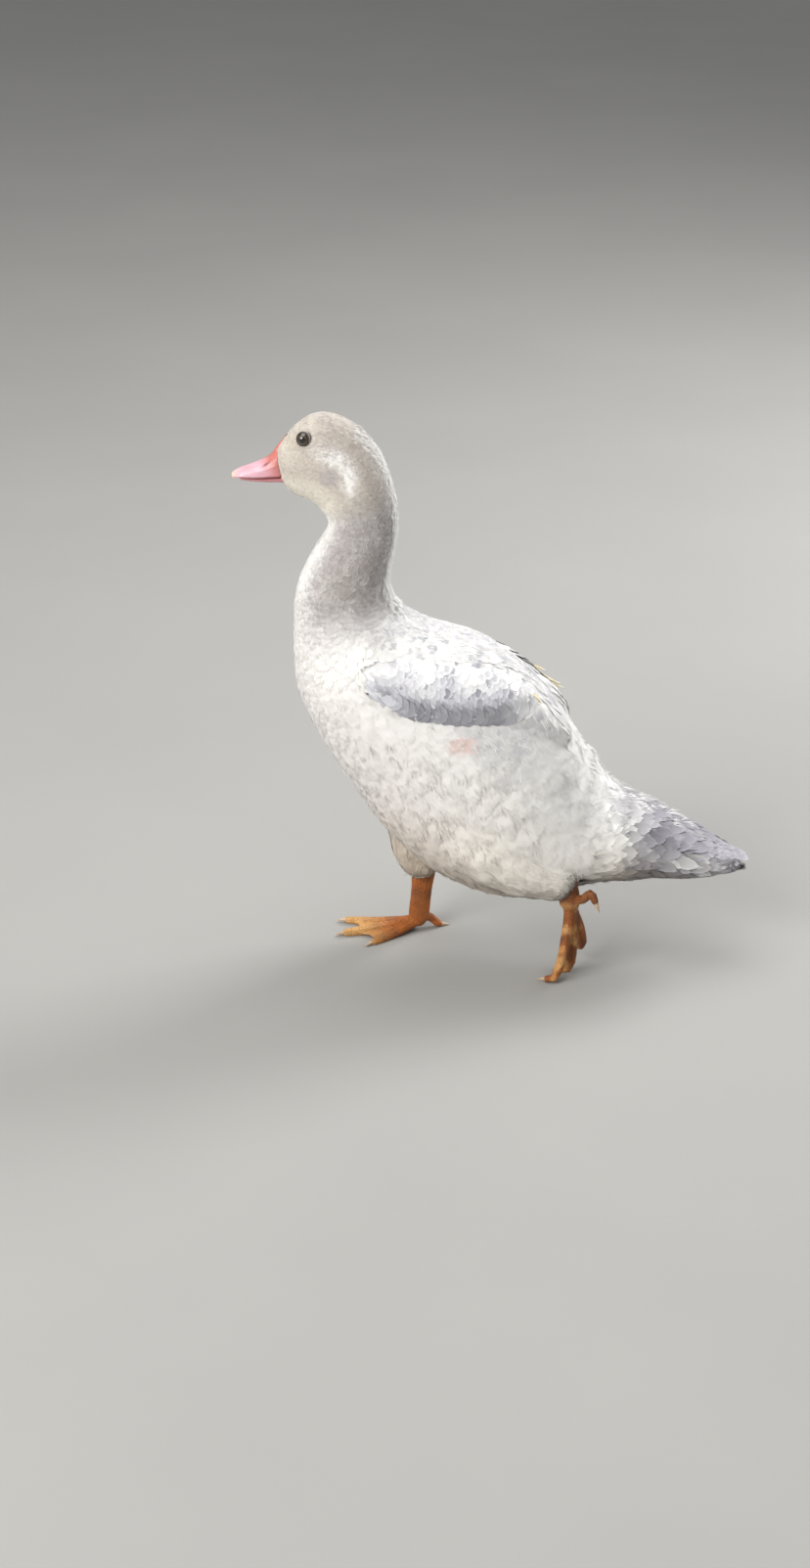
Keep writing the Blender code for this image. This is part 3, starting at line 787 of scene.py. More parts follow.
# Half width along a feather: shares of its length, and shares of its widest place
VANE_WIDTH = ((0.0, 0.12, 0.35, 0.60, 0.80, 1.0), (0.16, 0.55, 0.92, 1.0, 0.88, 0.50))
ROUND_WIDTH = ((0.0, 0.15, 0.40, 0.70, 0.86, 0.95, 1.0), (0.20, 0.60, 0.94, 1.0, 0.84, 0.58, 0.36))
POINTED_WIDTH = ((0.0, 0.2, 0.45, 0.70, 0.88, 1.0), (0.35, 0.85, 1.0, 0.84, 0.52, 0.22))
QUILL_WIDTH = ((0.0, 0.15, 0.45, 0.75, 0.90, 0.97, 1.0), (0.30, 0.75, 1.0, 1.0, 0.80, 0.50, 0.30))


def vane_template(rows, columns, locks, bow=0.0):
    """A feather as rows of columns, bowed towards the tip, whose last row splits into locks.

    Places are (share out, share across). Last come the tips of the locks and the room before them.
    """
    places, quads, tris = [], [], []
    across = np.linspace(-1, 1, columns + 1)
    for row in rows:
        places += [(row * (1 - bow * c ** 2), c) for c in across]
    for r in range(len(rows) - 1):
        for c in range(columns):
            a = r * (columns + 1) + c
            quads.append((a, a + 1, a + columns + 2, a + columns + 1))
    last = (len(rows) - 1) * (columns + 1)
    lock_tips = []
    for c in range(columns):
        middle = (across[c] + across[c + 1]) / 2
        half = (across[c + 1] - across[c]) / 2
        if locks:
            bend = (rows[-1] + 1) / 2
            places += [(bend, middle - half * 0.72), (bend, middle + half * 0.72)]
            quads.append((last + c, last + c + 1, len(places) - 1, len(places) - 2))
            tris.append((len(places) - 2, len(places) - 1, len(places)))
        else:
            tris.append((last + c, last + c + 1, len(places)))
        lock_tips.append(len(places))
        places.append((1.0 - max(bow, 0.08) * middle ** 2, middle * 1.05))
    room = (1 - rows[-1]) * (0.5 if locks else 1)
    return np.array(places), np.array(quads), np.array(tris), lock_tips, room


SILK = vane_template((0.0, 0.30, 0.58), 6, True, 0.10)
SMALL = vane_template((0.0, 0.38, 0.74), 2, False)
WISP = vane_template((0.0, 0.35, 0.70), 1, False)
ROUND = vane_template((0.0, 0.25, 0.48, 0.68, 0.84, 0.94), 4, False, 0.16)
LARGE = vane_template(tuple(np.linspace(0, 0.95, 10)), 6, False, 0.05)
TAIL_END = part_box("tail")[1][0]
LET_GO = 0.014              # length of the tail's end where feathers run on straight, off the skin
RAY_REACH = 0.16
RING_PROBES = 41
RING_GAP = 0.86             # gap between rings of roots, as a share of the gap in a ring
PATCH = 0.003               # size of a feather's place on the unwrap of the skin


def snapped(points):
    """The nearest places on the skin and the smooth normals there."""
    found = [SKIN_TREE.find_nearest(p) for p in points.tolist()]
    return np.array([hit[0] for hit in found]), unit(FACE_NORMALS[[hit[2] for hit in found]])


def on_surface(ways, normals):
    """The ways turned onto the surface that the normals stand on."""
    return unit(ways - normals * np.einsum("ij,ij->i", ways, normals)[:, None])


def laid_paths(roots, normals, flows, lengths, steps, cling):
    """Each feather's line over the skin: points, normals and ways at steps + 1 places."""
    at, up, way = roots.copy(), normals.copy(), flows.copy()
    points, ups, ways = [at.copy()], [up.copy()], [way.copy()]
    for _ in range(steps):
        ahead = at + way * (lengths / steps)[:, None]
        near, near_up = snapped(ahead)
        hold = cling * fade(TAIL_END - LET_GO, TAIL_END, ahead[:, 0])[:, None]
        at = ahead * (1 - hold) + near * hold
        up = unit(up * (1 - hold) + near_up * hold)
        way = on_surface(way, up)
        points.append(at.copy())
        ups.append(up.copy())
        ways.append(way.copy())
    return np.stack(points, 1), np.stack(ups, 1), np.stack(ways, 1)


def between(stations, share):
    """Values along stations (feathers, stations, 3) at the template's shares (feathers, places)."""
    count = stations.shape[1] - 1
    place = np.clip(share, 0, 1.3) * count
    low = np.minimum(place.astype(int), count - 1)
    part = (place - low)[..., None]
    rows = np.arange(len(stations))[:, None]
    return stations[rows, low] * (1 - part) + stations[rows, low + 1] * part


def skin_patch(points):
    """Each point's place on the unwrap of the skin: run along the spine, and the angle round it."""
    s, theta, _ = spine_place(points)
    return 0.01 + 0.98 * np.stack([clamp(s / RUN[-1]), theta / (2 * PI) + 0.5], 1)


def feathers(name, template, roots, normals, flows, lengths, widths, lifts, look, material=None,
             cling=1.0, steps=3, camber=0.12, curl=0.0, ragged=0.08, soften=0.65, shape=VANE_WIDTH,
             slot="feather_white"):
    """One coat piece. lifts is (at root, at tip). look(share out, share across, roots, seeds) tints it."""
    places, quads, tris, lock_tips, room = template
    count, corners = len(roots), len(places)
    out = np.tile(places[:, 0], (count, 1))
    across = np.tile(places[:, 1], (count, 1))
    seeds = RNG.random((count, 2))
    stretch = RNG.normal(0, ragged, (count, len(lock_tips)))
    out[:, lock_tips] += np.clip(stretch, -0.45 * room, 2.0 * ragged)
    across[:, lock_tips] += RNG.normal(0, ragged * 1.2, (count, len(lock_tips)))
    points, ups, ways = laid_paths(roots, normals, flows, lengths, steps, cling)
    at, up, way = between(points, out), unit(between(ups, out)), unit(between(ways, out))
    side = np.cross(way, up)
    width = np.interp(out, *shape) * widths[:, None]
    height = lifts[0][:, None] + (lifts[1] - lifts[0])[:, None] * (1 - (1 - clamp(out)) ** 2)
    height = height - camber * width * across ** 2 + curl * (lengths[:, None] * np.clip(out, 0, 1.2) ** 2)
    made = at + side * (across * width)[..., None] + up * height[..., None]
    shifts = (np.arange(count) * corners)[:, None, None]
    faces = [(part[None] + shifts).reshape(-1, part.shape[1]) for part in (quads, tris)]
    tint = look(out, across, roots, seeds).reshape(-1, 3)
    vane = np.stack([out * lengths[:, None], np.abs(across) * width, np.tile(seeds[:, :1], (1, corners))], 2)
    patch = skin_patch(roots)[:, None] + np.stack([(out - 0.5) * PATCH, across * PATCH / 2], 2)
    own = np.cross(way, side)
    own *= np.sign(np.einsum("ijk,ijk->ij", own, up))[..., None]
    own = unit(own - across[..., None] * 0.3 * side)
    normal = unit(up * soften + own * (1 - soften))
    obj = mesh_object(name, made.reshape(-1, 3), faces, material or FEATHER_MATERIAL, clamp(tint),
                      vane.reshape(-1, 3), patch.reshape(-1, 2), normal.reshape(-1, 3))
    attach(obj, "root")


def coat_look(strength=1.0, edge=0.05, shade=0.05, spread=0.05):
    """Tints from the markings: a mark inside each feather, a paler edge, a darker base that is painted shade
    under the feather above, no two alike.
    """
    def look(out, across, roots, seeds):
        colour, dark, marks = plumage(roots)
        marks = marks * strength * (0.35 + 1.3 * seeds[:, 0])
        inside = ease(0.25, 0.62, out) * fade(0.78, 0.93, out) * fade(0.62, 0.92, np.abs(across))
        amount = clamp(marks[:, None] * inside)[..., None]
        level = (1 + spread * (2 * seeds[:, 1] - 1))[:, None] + edge * (ease(0.75, 1.0, out) - 0.5)
        # shade: painted shade, darker towards the root where the feather above lies over it
        level = level - shade * fade(0.20, 0.75, out)
        return (colour[:, None] * (1 - amount) + dark[:, None] * amount) * level[..., None]

    return look


def seen_out(centre, ray):
    """Where a ray from the middle of the bird meets the skin: place, normal, face and distance."""
    return SKIN_TREE.ray_cast(Vector(centre), Vector(ray), RAY_REACH)


def ring_roots(centres, ways, ups, spacing, jitter):
    """Roots in staggered rings round a line: places on the skin, normals, and the line's way at each."""
    run = np.concatenate([[0], np.cumsum(np.linalg.norm(np.diff(centres, axis=0), axis=1))])
    roots, normals, line_ways = [], [], []
    at, ring = 0.0, 0
    probe = np.linspace(-PI, PI, RING_PROBES)
    while at < run[-1]:
        centre = np.array([np.interp(at, run, centres[:, k]) for k in range(3)])
        way = unit(np.array([np.interp(at, run, ways[:, k]) for k in range(3)]))
        up = np.array([np.interp(at, run, ups[:, k]) for k in range(3)])
        up = unit(up - way * (up @ way))
        side = np.cross(way, up)
        side = side if side[1] > 0 else -side
        gap = spacing(at)
        hits = []
        for angle in probe:
            hit = seen_out(centre, up * math.cos(angle) + side * math.sin(angle))
            hits.append(np.array(hit[0]) if hit[0] else np.array(centre))
        arc = np.concatenate([[0], np.cumsum(np.linalg.norm(np.diff(hits, axis=0), axis=1))])
        count = int(arc[-1] / gap)
        if count > 2:
            stagger = (ring % 2) * 0.5
            stops = (np.arange(count) + stagger + RNG.uniform(-jitter, jitter, count)) * arc[-1] / count
            tilt = RNG.uniform(-jitter, jitter, count) * gap
            for angle, shift in zip(np.interp(stops % arc[-1], arc, probe), tilt):
                hit = seen_out(centre + way * shift, up * math.cos(angle) + side * math.sin(angle))
                if hit[0]:
                    roots.append(tuple(hit[0]))
                    normals.append(FACE_NORMALS[hit[2]])
                    line_ways.append(way)
        at += gap * RING_GAP
        ring += 1
    return np.array(roots), unit(np.array(normals)), np.array(line_ways)


def filled(roots, normals, ways, first, last):
    """Adds roots wherever the skin has none near, as on the thighs and in creases that no ring reaches."""
    stretch = np.flatnonzero((SKIN_RUN >= first) & (SKIN_RUN < last))
    gaps = np.maximum(table(FEATHER_SPACING, SKIN_RUN[stretch]), FILL_LEAST)
    tree = KDTree(len(roots))
    for index, root in enumerate(roots.tolist()):
        tree.insert(root, index)
    tree.balance()
    far = np.array([tree.find(p)[2] for p in SKIN_POINTS[stretch].tolist()])
    added = []
    for i in RNG.permutation(np.flatnonzero(far > gaps)):
        point = SKIN_POINTS[stretch[i]]
        if not added or np.linalg.norm(SKIN_POINTS[added] - point, axis=1).min() > gaps[i]:
            added.append(stretch[i])
    if not added:
        return roots, normals, ways
    _, _, nearest = spine_place(SKIN_POINTS[added])
    extra = SKIN_POINTS[added], SKIN_NORMALS[added], WAY[nearest]
    return tuple(np.concatenate(pair) for pair in zip((roots, normals, ways), extra))


def thigh_lie(roots, lie):
    """Turns the lie down along the thighs."""
    for name, side in SIDES.items():
        low, high = corners_of(f"thigh_{name}")
        beside = np.abs(roots - (low + high) / 2) - (high - low) / 2
        share = fade(0, 0.006, np.maximum(beside[:, 0], beside[:, 1]))
        share = share * ease(0.10, 0.45, (high[2] - roots[:, 2]) / (high[2] - low[2]))
        share = (share * (side * roots[:, 1] > 0))[:, None]
        lie = lie * (1 - share) + unit(middle_of(f"shank_{name}") - roots) * share
    return lie


def wing_lie(side, fall):
    """The way that wing feathers point: backwards, a little inwards, and down by fall."""
    return np.stack([np.ones(len(side)), -0.10 * side, -fall * np.ones(len(side))], 1)


def flow_at(roots, normals, ways):
    """The lie of the coat: along the line, turned onto the skin, and a little downward on the flanks."""
    _, wing = wing_share(roots)
    s, _, _ = spine_place(roots)
    lie = ways * (1 - wing[:, None]) + unit(wing_lie(np.sign(roots[:, 1]), 0.42)) * wing[:, None]
    droop = ease(MARK["shoulder"], MARK["ribcage"], s) * fade(MARK["loin"], MARK["vent"], s) * 0.20
    lie = thigh_lie(roots, lie + np.stack([0 * droop, 0 * droop, -droop], 1))
    lie = lie + RNG.normal(0, 0.07, lie.shape)
    turn = 0.08 + 0.12 * ease(MARK["neck_base"], MARK["ribcage"], s) + 0.50 * fluff_share(roots)
    turn = turn * (1 - wing) * grain(roots, 0.017, 21.0) * 1.6
    return on_surface(lie + np.cross(normals, lie) * turn[:, None], normals)


# ---------------------------------------------------------------- bill, eyes and claws

BILL_PINK = srgb(206, 152, 160)
BILL_LILAC = srgb(214, 180, 194)
BILL_RED = srgb(176, 90, 72)
BILL_EDGE = srgb(176, 104, 102)
BILL_NAIL = srgb(218, 182, 166)
# Painted shade inside the nostrils' openings
NOSTRIL = srgb(104, 48, 44)
BILL_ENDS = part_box("bill_nail")[0][0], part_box("bill_upper")[1][0]
BILL_LENGTH = BILL_ENDS[1] - BILL_ENDS[0]
# The ridge: shares of the head's box along x and z, and radius
RIDGE = ((0.005, 0.640, 0.0040), (0.036, 0.715, 0.0022), (0.092, 0.800, 0.0009))
BILL_GROW, BILL_VOXEL = 0.0002, 0.00042
CLAW_GROW, CLAW_VOXEL = 0.0001, 0.0003
NOSTRIL_PLACE = 0.70         # from the tip, as a share of the bill's length
NOSTRIL_DROP = 0.0042        # below the bill's ridge
NOSTRIL_SIZE = (0.0024, 0.0010)
NOSTRIL_DEEP = 0.0011
LIP_HEIGHT = 0.0017          # of the groove above the upper bill's edge
LIP_DEEP = 0.00035
NAIL_RISE = 0.0005
BILL_CLOSE = 0.0012          # how far the lower bill's edge rises to meet the upper one
BILL_SLIM = 0.45             # how much thinner the lower bill gets, as a share
EYE_IRIS = srgb(92, 74, 48)
EYE_RIM = srgb(40, 34, 30)
LID_DARK = srgb(78, 68, 64)
LID_PALE = srgb(190, 182, 171)
HORN = srgb(196, 168, 138)
EYES = ("eye_right", "eye_left")
EYE_LOOK = (-0.22, 0.97, 0.08)      # way the right eye faces
LID_OPENING = math.radians(66)
LID_WIDTH = math.radians(22)
LID_OVAL = 0.24                     # how much narrower than high the opening is, as a share
LID_GAP = 0.0001                    # between the eyeball and the lid's edges
LID_FOLD, LID_CREASE = 0.00055, 0.0002
LID_RINGS, LID_TURNS = 11, 48
EYE_RINGS, EYE_TURNS = 26, 36
PUPIL_EDGE = math.radians(25), math.radians(29)
IRIS_EDGE = math.radians(42), math.radians(50)
CORNEA_EDGE = math.radians(25), math.radians(48)
CORNEA_RISE = 0.00035
PUPIL = np.array([0.004, 0.003, 0.003])


def ridge_mesh():
    """The narrow bare ridge that runs from the bill up the forehead."""
    return tube_mesh("ridge", [(in_box("head", x, z), radius) for x, z, radius in RIDGE])


def edges_along(x, z, stations=40, near=0.0012):
    """The lowest and the highest z near each x."""
    places = np.linspace(x.min(), x.max(), stations)
    close = [z[np.abs(x - at) < near] for at in places]
    return (np.interp(x, places, [part.min() for part in close]),
            np.interp(x, places, [part.max() for part in close]))


def shaped_top(points, share, root):
    """Colours of the upper bill, whose points get nostrils darkened with painted shade, a lip and a nail.
    share is 0 at the tip.
    """
    x, y, z = points.T
    low, high = edges_along(x, z)
    streak = grain(points * (0.4, 1, 1), 0.0035, 2.0)
    base = share + 0.22 * ease(low, high, z) + 0.08 * streak
    nail = share + 6.0 * np.maximum(np.abs(y) - 0.004, 0)
    along = (share - NOSTRIL_PLACE) * BILL_LENGTH
    spot = np.hypot(along / NOSTRIL_SIZE[0], (z - high + NOSTRIL_DROP) / NOSTRIL_SIZE[1])
    spot = bump(np.where(np.abs(y) > 0.002, spot, 9.0), 0, 1.0)
    lip = z - low - LIP_HEIGHT
    colour = painted(np.tile(BILL_PINK, (len(points), 1)),
                     (BILL_LILAC, clamp(0.5 + 0.6 * streak) * fade(0.55, 0.80, share) * 0.8),
                     (BILL_RED, ease(0.70, 1.06, base) * 0.85),
                     (BILL_RED, ease(root + 0.001, root + 0.004, x) * 0.6),
                     (BILL_NAIL, fade(0.05, 0.15, nail)),
                     # painted shade in the nostrils
                     (NOSTRIL, spot * 0.9),
                     (BILL_EDGE, bump(lip, 0, 0.0007) * 0.7 * ease(0.1, 0.2, share)))
    y -= np.sign(y) * (NOSTRIL_DEEP * spot + LIP_DEEP * bump(lip, 0, 0.0005))
    z += NAIL_RISE * fade(0.0, 1.0, np.hypot((share - 0.06) / 0.13, y / 0.0048))
    return colour


def shaped_under(points, share):
    """Colours of the lower bill, whose points are drawn up to the upper one: a darker red-pink, partly its
    own colour and partly painted shade under the upper bill.
    """
    x, _, z = points.T
    low, high = edges_along(x, z)
    streak = grain(points * (0.4, 1, 1), 0.0035, 2.0)
    z += BILL_CLOSE * ease(low, high, z) + BILL_SLIM * (high - z)
    # darker red-pink: partly the lower bill's own colour, partly painted shade under the upper bill
    return painted(np.tile(BILL_PINK, (len(points), 1)), (BILL_EDGE, 0.55 + 0.2 * streak),
                   (BILL_NAIL, fade(0.10, 0.24, share)))


def bill_pieces():
    material = bill_material("bill_skin", 0.36)
    tip, root = BILL_ENDS
    for name, nodes, extra in (("bill_top", ["bill_upper", "bill_nail"], [ridge_mesh()]),
                               ("bill_under", ["bill_lower"], [])):
        mesh = remeshed(grown_copy(nodes, BILL_GROW, extra), BILL_VOXEL, 3)
        points = points_of(mesh)
        share = (points[:, 0] - tip) / BILL_LENGTH             # 0 at the tip, 1 at the root
        colour = shaped_top(points, share, root) if name == "bill_top" else shaped_under(points, share)
        piece = mesh_object(name, points, face_arrays(faces_of(mesh)), material, colour)
        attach(piece, "root")
        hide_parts(*nodes)


def eye_axes(name):
    """The eye's centre and radius, and three axes: the way it looks, forward and up."""
    low, high = corners_of(name)
    side = 1 if name == "eye_right" else -1
    look = unit(np.array(EYE_LOOK) * (1, side, 1))
    forward = unit(np.cross(look, (0, 0, 1.0)) * -side)
    return (low + high) / 2, (high[2] - low[2]) / 2, look, forward, unit(np.cross(look, forward) * side)


def eye_rings(axes, polar, reach):
    """Points at angles off the way the eye looks and distances from its centre, both as (rings, turns)."""
    centre, _, look, forward, up = axes
    around = np.outer(np.cos(turns_of(polar)), forward) + np.outer(np.sin(turns_of(polar)), up)
    ways = np.cos(polar)[..., None] * look + np.sin(polar)[..., None] * around
    return (centre + reach[..., None] * ways).reshape(-1, 3)


def turns_of(grid):
    """The angle of each column of a grid, once round."""
    return 2 * PI * np.arange(grid.shape[1]) / grid.shape[1]


def eyeball(name):
    axes = eye_axes(name)
    polar = np.tile(PI * (np.arange(EYE_RINGS)[:, None] + 0.02) / (EYE_RINGS - 0.96), EYE_TURNS)
    reach = axes[1] + CORNEA_RISE * fade(*CORNEA_EDGE, polar)
    iris = (ease(*PUPIL_EDGE, polar) * fade(*IRIS_EDGE, polar)).reshape(-1, 1)
    tints = PUPIL * (1 - iris) + EYE_IRIS * iris * 0.5 + EYE_RIM * 0.15
    last = (EYE_RINGS - 1) * EYE_TURNS
    faces = grid_faces(EYE_RINGS, EYE_TURNS)
    faces += [tuple(range(EYE_TURNS))[::-1], tuple(range(last, last + EYE_TURNS))]
    obj = mesh_object(f"{name}_ball", eye_rings(axes, polar, reach), face_arrays(faces), EYE_MATERIAL, tints)
    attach(obj, "root")
    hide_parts(name)


def lid_ring(name):
    """The bare ring of skin round the eye, with a fold in it."""
    axes = eye_axes(name)
    share = np.tile(np.linspace(0, 1, LID_RINGS)[:, None], LID_TURNS)
    polar = LID_OPENING * (1 - LID_OVAL * np.cos(turns_of(share)) ** 2) + share * LID_WIDTH
    fold = LID_FOLD * np.sin(share * PI) + LID_CREASE * np.sin(3 * share * PI)
    reach = axes[1] + LID_GAP + fold * np.where(np.sin(turns_of(share)) > 0, 1.2, 0.9)
    tints = mix(LID_DARK, LID_PALE, ease(0.25, 0.70, share.ravel()))
    faces = face_arrays(grid_faces(LID_RINGS, LID_TURNS))
    obj = mesh_object(f"{name}_lids", eye_rings(axes, polar, reach), faces, skin_material(), tints)
    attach(obj, "root")


def claw_pieces(side):
    names = [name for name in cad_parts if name.startswith(f"claw_{side}")]
    mesh = remeshed(grown_copy(names, CLAW_GROW), CLAW_VOXEL, 2)
    points = points_of(mesh)
    tint = HORN * (0.85 + 0.2 * grain(points, 0.004, 4.0))[:, None]
    obj = mesh_object(f"claws_{side}", points, face_arrays(faces_of(mesh)), claw_material(side), tint)
    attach(obj, "root")
    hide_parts(*names)


# ---------------------------------------------------------------- the coat

# Gap between roots, length, and half width as a share of the length, along the spine
FEATHER_SPACING = {"face": 0.0011, "eye": 0.0012, "crown": 0.0014, "nape": 0.0016,
                   "upper_neck": 0.0019, "mid_neck": 0.0023, "neck_base": 0.0031, "shoulder": 0.0040,
                   "breast": 0.0047, "tip": 0.0048}
FEATHER_LENGTH = {"face": 0.0022, "eye": 0.0034, "crown": 0.0050, "nape": 0.0064, "upper_neck": 0.0080,
                  "mid_neck": 0.0098, "neck_base": 0.0140, "shoulder": 0.0180, "breast": 0.0225,
                  "loin": 0.0250, "rump": 0.0250, "tip": 0.0240}
FEATHER_SHAPE = {"face": 0.34, "crown": 0.30, "upper_neck": 0.28, "neck_base": 0.28, "breast": 0.27,
                 "tip": 0.27}
FILL_LEAST = 0.0032          # smallest gap between feather roots that gets filled
EYE_CLEAR = 0.0052           # radius round the eye's middle without feathers
BILL_CLEAR = 0.0010
WING_BLEND = 0.0016          # how much flatter the breast feathers lie where they meet the wing's front
HEAD_RISE = 0.0016
RIM_LENGTH = {"crown": 0.0050, "mid_neck": 0.0070, "rump": 0.009, "tip": 0.010}
SCAPULAR_RISE = 0.0005       # how much higher the scapulars lie than the rest, over the wing's upper edge


def from_eyes(roots):
    """For each eye, the ways from its middle to the roots, and their lengths."""
    away = [roots - middle_of(name) for name in EYES]
    return [(ways, np.linalg.norm(ways, axis=1)) for ways in away]


def bill_tree():
    """The bill and its ridge, to look up the distance to them."""
    points, faces = [], []
    for mesh in (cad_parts["bill_upper"].data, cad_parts["bill_lower"].data, ridge_mesh()):
        faces += [tuple(i + len(points) for i in face.vertices) for face in mesh.polygons]
        points += [tuple(v.co) for v in mesh.vertices]
    return BVHTree.FromPolygons(points, faces)


def clear_of_face(roots):
    """False where a root would lie in an eye or under the bill."""
    keep = np.array([BILL_TREE.find_nearest(p)[3] for p in roots.tolist()]) >= BILL_CLEAR
    for _, far in from_eyes(roots):
        keep &= far > EYE_CLEAR
    return keep


def round_the_eyes(roots, lie):
    """Turns the lie outwards round the eyes."""
    for ways, far in from_eyes(roots):
        lie = lie + unit(ways) * 0.9 * bump(far, EYE_CLEAR, 0.0035)[:, None]
    return unit(lie)


def body_roots(first, last, scale=1.0, jitter=0.28):
    """Roots over the stretch of the body between two runs of the spine."""
    chosen = (RUN >= first) & (RUN <= last)
    start = RUN[chosen][0]
    return ring_roots(LINE[chosen], WAY[chosen], BACK[chosen],
                      lambda at: table(FEATHER_SPACING, at + start) * scale, jitter)


def head_rise(roots, s, theta):
    """How much fuller the coat stands over the crown and nape, away from the eyes."""
    rise = HEAD_RISE * ease(MARK["face"], MARK["crown"], s) * fade(MARK["nape"], MARK["upper_neck"], s)
    rise = rise * fade(0.30, 0.60, np.abs(theta) / PI)
    for _, far in from_eyes(roots):
        rise = rise * ease(0.007, 0.014, far)
    return rise


def coat_over(name, template, first, last, select=None, wide=1.0, **settings):
    """Feathers over the stretch of the body between two runs of the spine."""
    roots, normals, ways = filled(*body_roots(first, last), first + 0.002, last - 0.002)
    on_head = first < MARK["nape"]
    keep = clear_of_face(roots) if on_head else np.ones(len(roots), bool)
    if select is not None:
        keep &= select(roots)
    roots, normals, ways = roots[keep], normals[keep], ways[keep]
    lie = flow_at(roots, normals, ways)
    if on_head:
        lie = round_the_eyes(roots, lie)
    s, theta, _ = spine_place(roots)
    fluff = fluff_share(roots)
    lengths = table(FEATHER_LENGTH, s) * RNG.uniform(0.88, 1.12, len(roots)) * (1 - 0.25 * fluff)
    widths = lengths * table(FEATHER_SHAPE, s) * wide * (1 - 0.15 * fluff)
    depth = table(COAT_DEPTH, s) * (1 + (0.06 + 0.55 * fluff) * grain(roots, 0.013, 31.0) - 0.04)
    share, wing = wing_share(roots)
    depth = depth - wing * (WING_FLESH - SCAPULAR_RISE + WING_BLEND * fade(0.60, 0.74, share))
    flat = fade(MARK["eye"], MARK["mid_neck"], s)
    rise = head_rise(roots, s, theta)
    lifts = (depth * 0.52 + rise, depth * RNG.uniform(0.94, 1.04, len(roots)) * (1 - 0.12 * flat) + rise)
    feathers(name, template, roots, normals, lie, lengths, widths, lifts, **settings)


def off_wing(roots):
    """True off the wing, under the scapulars along its upper edge, and at its lower front corner."""
    share, wing = wing_share(roots)
    front = (share < 0.30) & (roots[:, 0] < -0.098)
    return (wing < 0.75) | (share > 0.74) | (roots[:, 0] > 0.036) | front


# Plain white for the fuzz along the top edges: real down, and over grey plumage partly painted highlight of
# the rim lit from behind
def rim_highlight_look(out, _, roots, seeds):
    return np.tile(WHITE, (len(roots), out.shape[1], 1)) * (0.92 + 0.08 * seeds[:, 1])[:, None, None]


def tufts(name, roots, normals, lie, strands, lengths, spread, rise, width, look):
    """Down in tufts: strands from each root, fanned over its lie and curling up off the coat."""
    order = np.repeat(np.arange(len(roots)), strands)
    s, _, _ = spine_place(roots)
    fan = RNG.normal(0, spread, len(order))[:, None]
    ways = unit(lie[order] + np.cross(normals, lie)[order] * fan + normals[order] * 0.10)
    lengths = lengths[order] * RNG.uniform(0.55, 1.25, len(order))
    depth = table(COAT_DEPTH, s)[order]
    lifts = (depth * 0.45, depth * RNG.uniform(0.9, 1.05, len(order)) + rise * RNG.random(len(order)))
    shift = RNG.normal(0, 1, (len(order), 3)) * (lengths * 0.10)[:, None]
    feathers(name, WISP, roots[order] + shift, normals[order], ways, lengths, np.full(len(order), width),
             lifts, look, DOWN_MATERIAL, cling=0.7, curl=0.06, ragged=0.06)


def flank_down():
    """Tufts of down over the flank, belly sides and vent, thickest where the coat is fluffiest."""
    roots, normals, ways = body_roots(MARK["breast"], MARK["coverts"], 1.25, 0.48)
    _, theta, _ = spine_place(roots)
    share = np.maximum(fluff_share(roots), 0.22 * ease(0.30, 0.55, np.abs(theta) / PI))
    keep = off_wing(roots) & (RNG.random(len(roots)) < share)
    roots, normals, ways = roots[keep], normals[keep], ways[keep]
    lie = flow_at(roots, normals, ways)
    lie = unit(lie + np.cross(normals, lie) * (1.3 * grain(roots, 0.012, 41.0))[:, None])
    tufts("down_flank", roots, normals, lie, strands=10, lengths=np.full(len(roots), 0.0085), spread=0.40,
          rise=0.0014, width=0.00026, look=coat_look(0.25, 0.05))


def rim_down():
    """White fuzz that stands off the nape, the hind neck, the rump and the tail's upper edge; its plain
    white over grey plumage is partly painted highlight of the rim lit from behind.
    """
    roots, normals, ways = body_roots(MARK["crown"], MARK["tip"], 1.0, 0.48)
    s, theta, _ = spine_place(roots)
    back = np.abs(theta) / PI
    neck = (back < 0.14) & (s < MARK["neck_base"])
    tail = (back < 0.17) & (s > MARK["rump"]) & (s < MARK["quills"] - 0.012)
    keep = (neck | tail) & (RNG.random(len(roots)) < 0.45)
    roots, normals, ways, s = roots[keep], normals[keep], ways[keep], s[keep]
    lie = flow_at(roots, normals, ways)
    tufts("down_rim", roots, normals, lie, strands=9, lengths=table(RIM_LENGTH, s), spread=0.26,
          rise=0.0026, width=0.00019, look=rim_highlight_look)


WING_START, WING_RUN = -0.1150, 0.1660      # x of the first column of coverts, and how far the columns run
WING_COLUMNS = 39
COVERT_PITCH = 0.0042
COVERT_REACH = 0.0065        # how far the lowest coverts' tips hang below their roots
COVERT_TOP = {1: 0.82, -1: 0.94}            # share of the wing's height that coverts take, on each side
COVERT_LENGTH = 0.0135
COVERT_LONGER = 0.0060       # how much longer they are at the lower edge
COVERT_HALF = 0.40           # half width as a share of the length
COVERT_DEPTH = 0.0042        # of the coat they make
COVERT_SWELL = 0.0014        # how much deeper it is along the lower edge
COVERT_THIN = 0.0020         # how much thinner under the scapulars


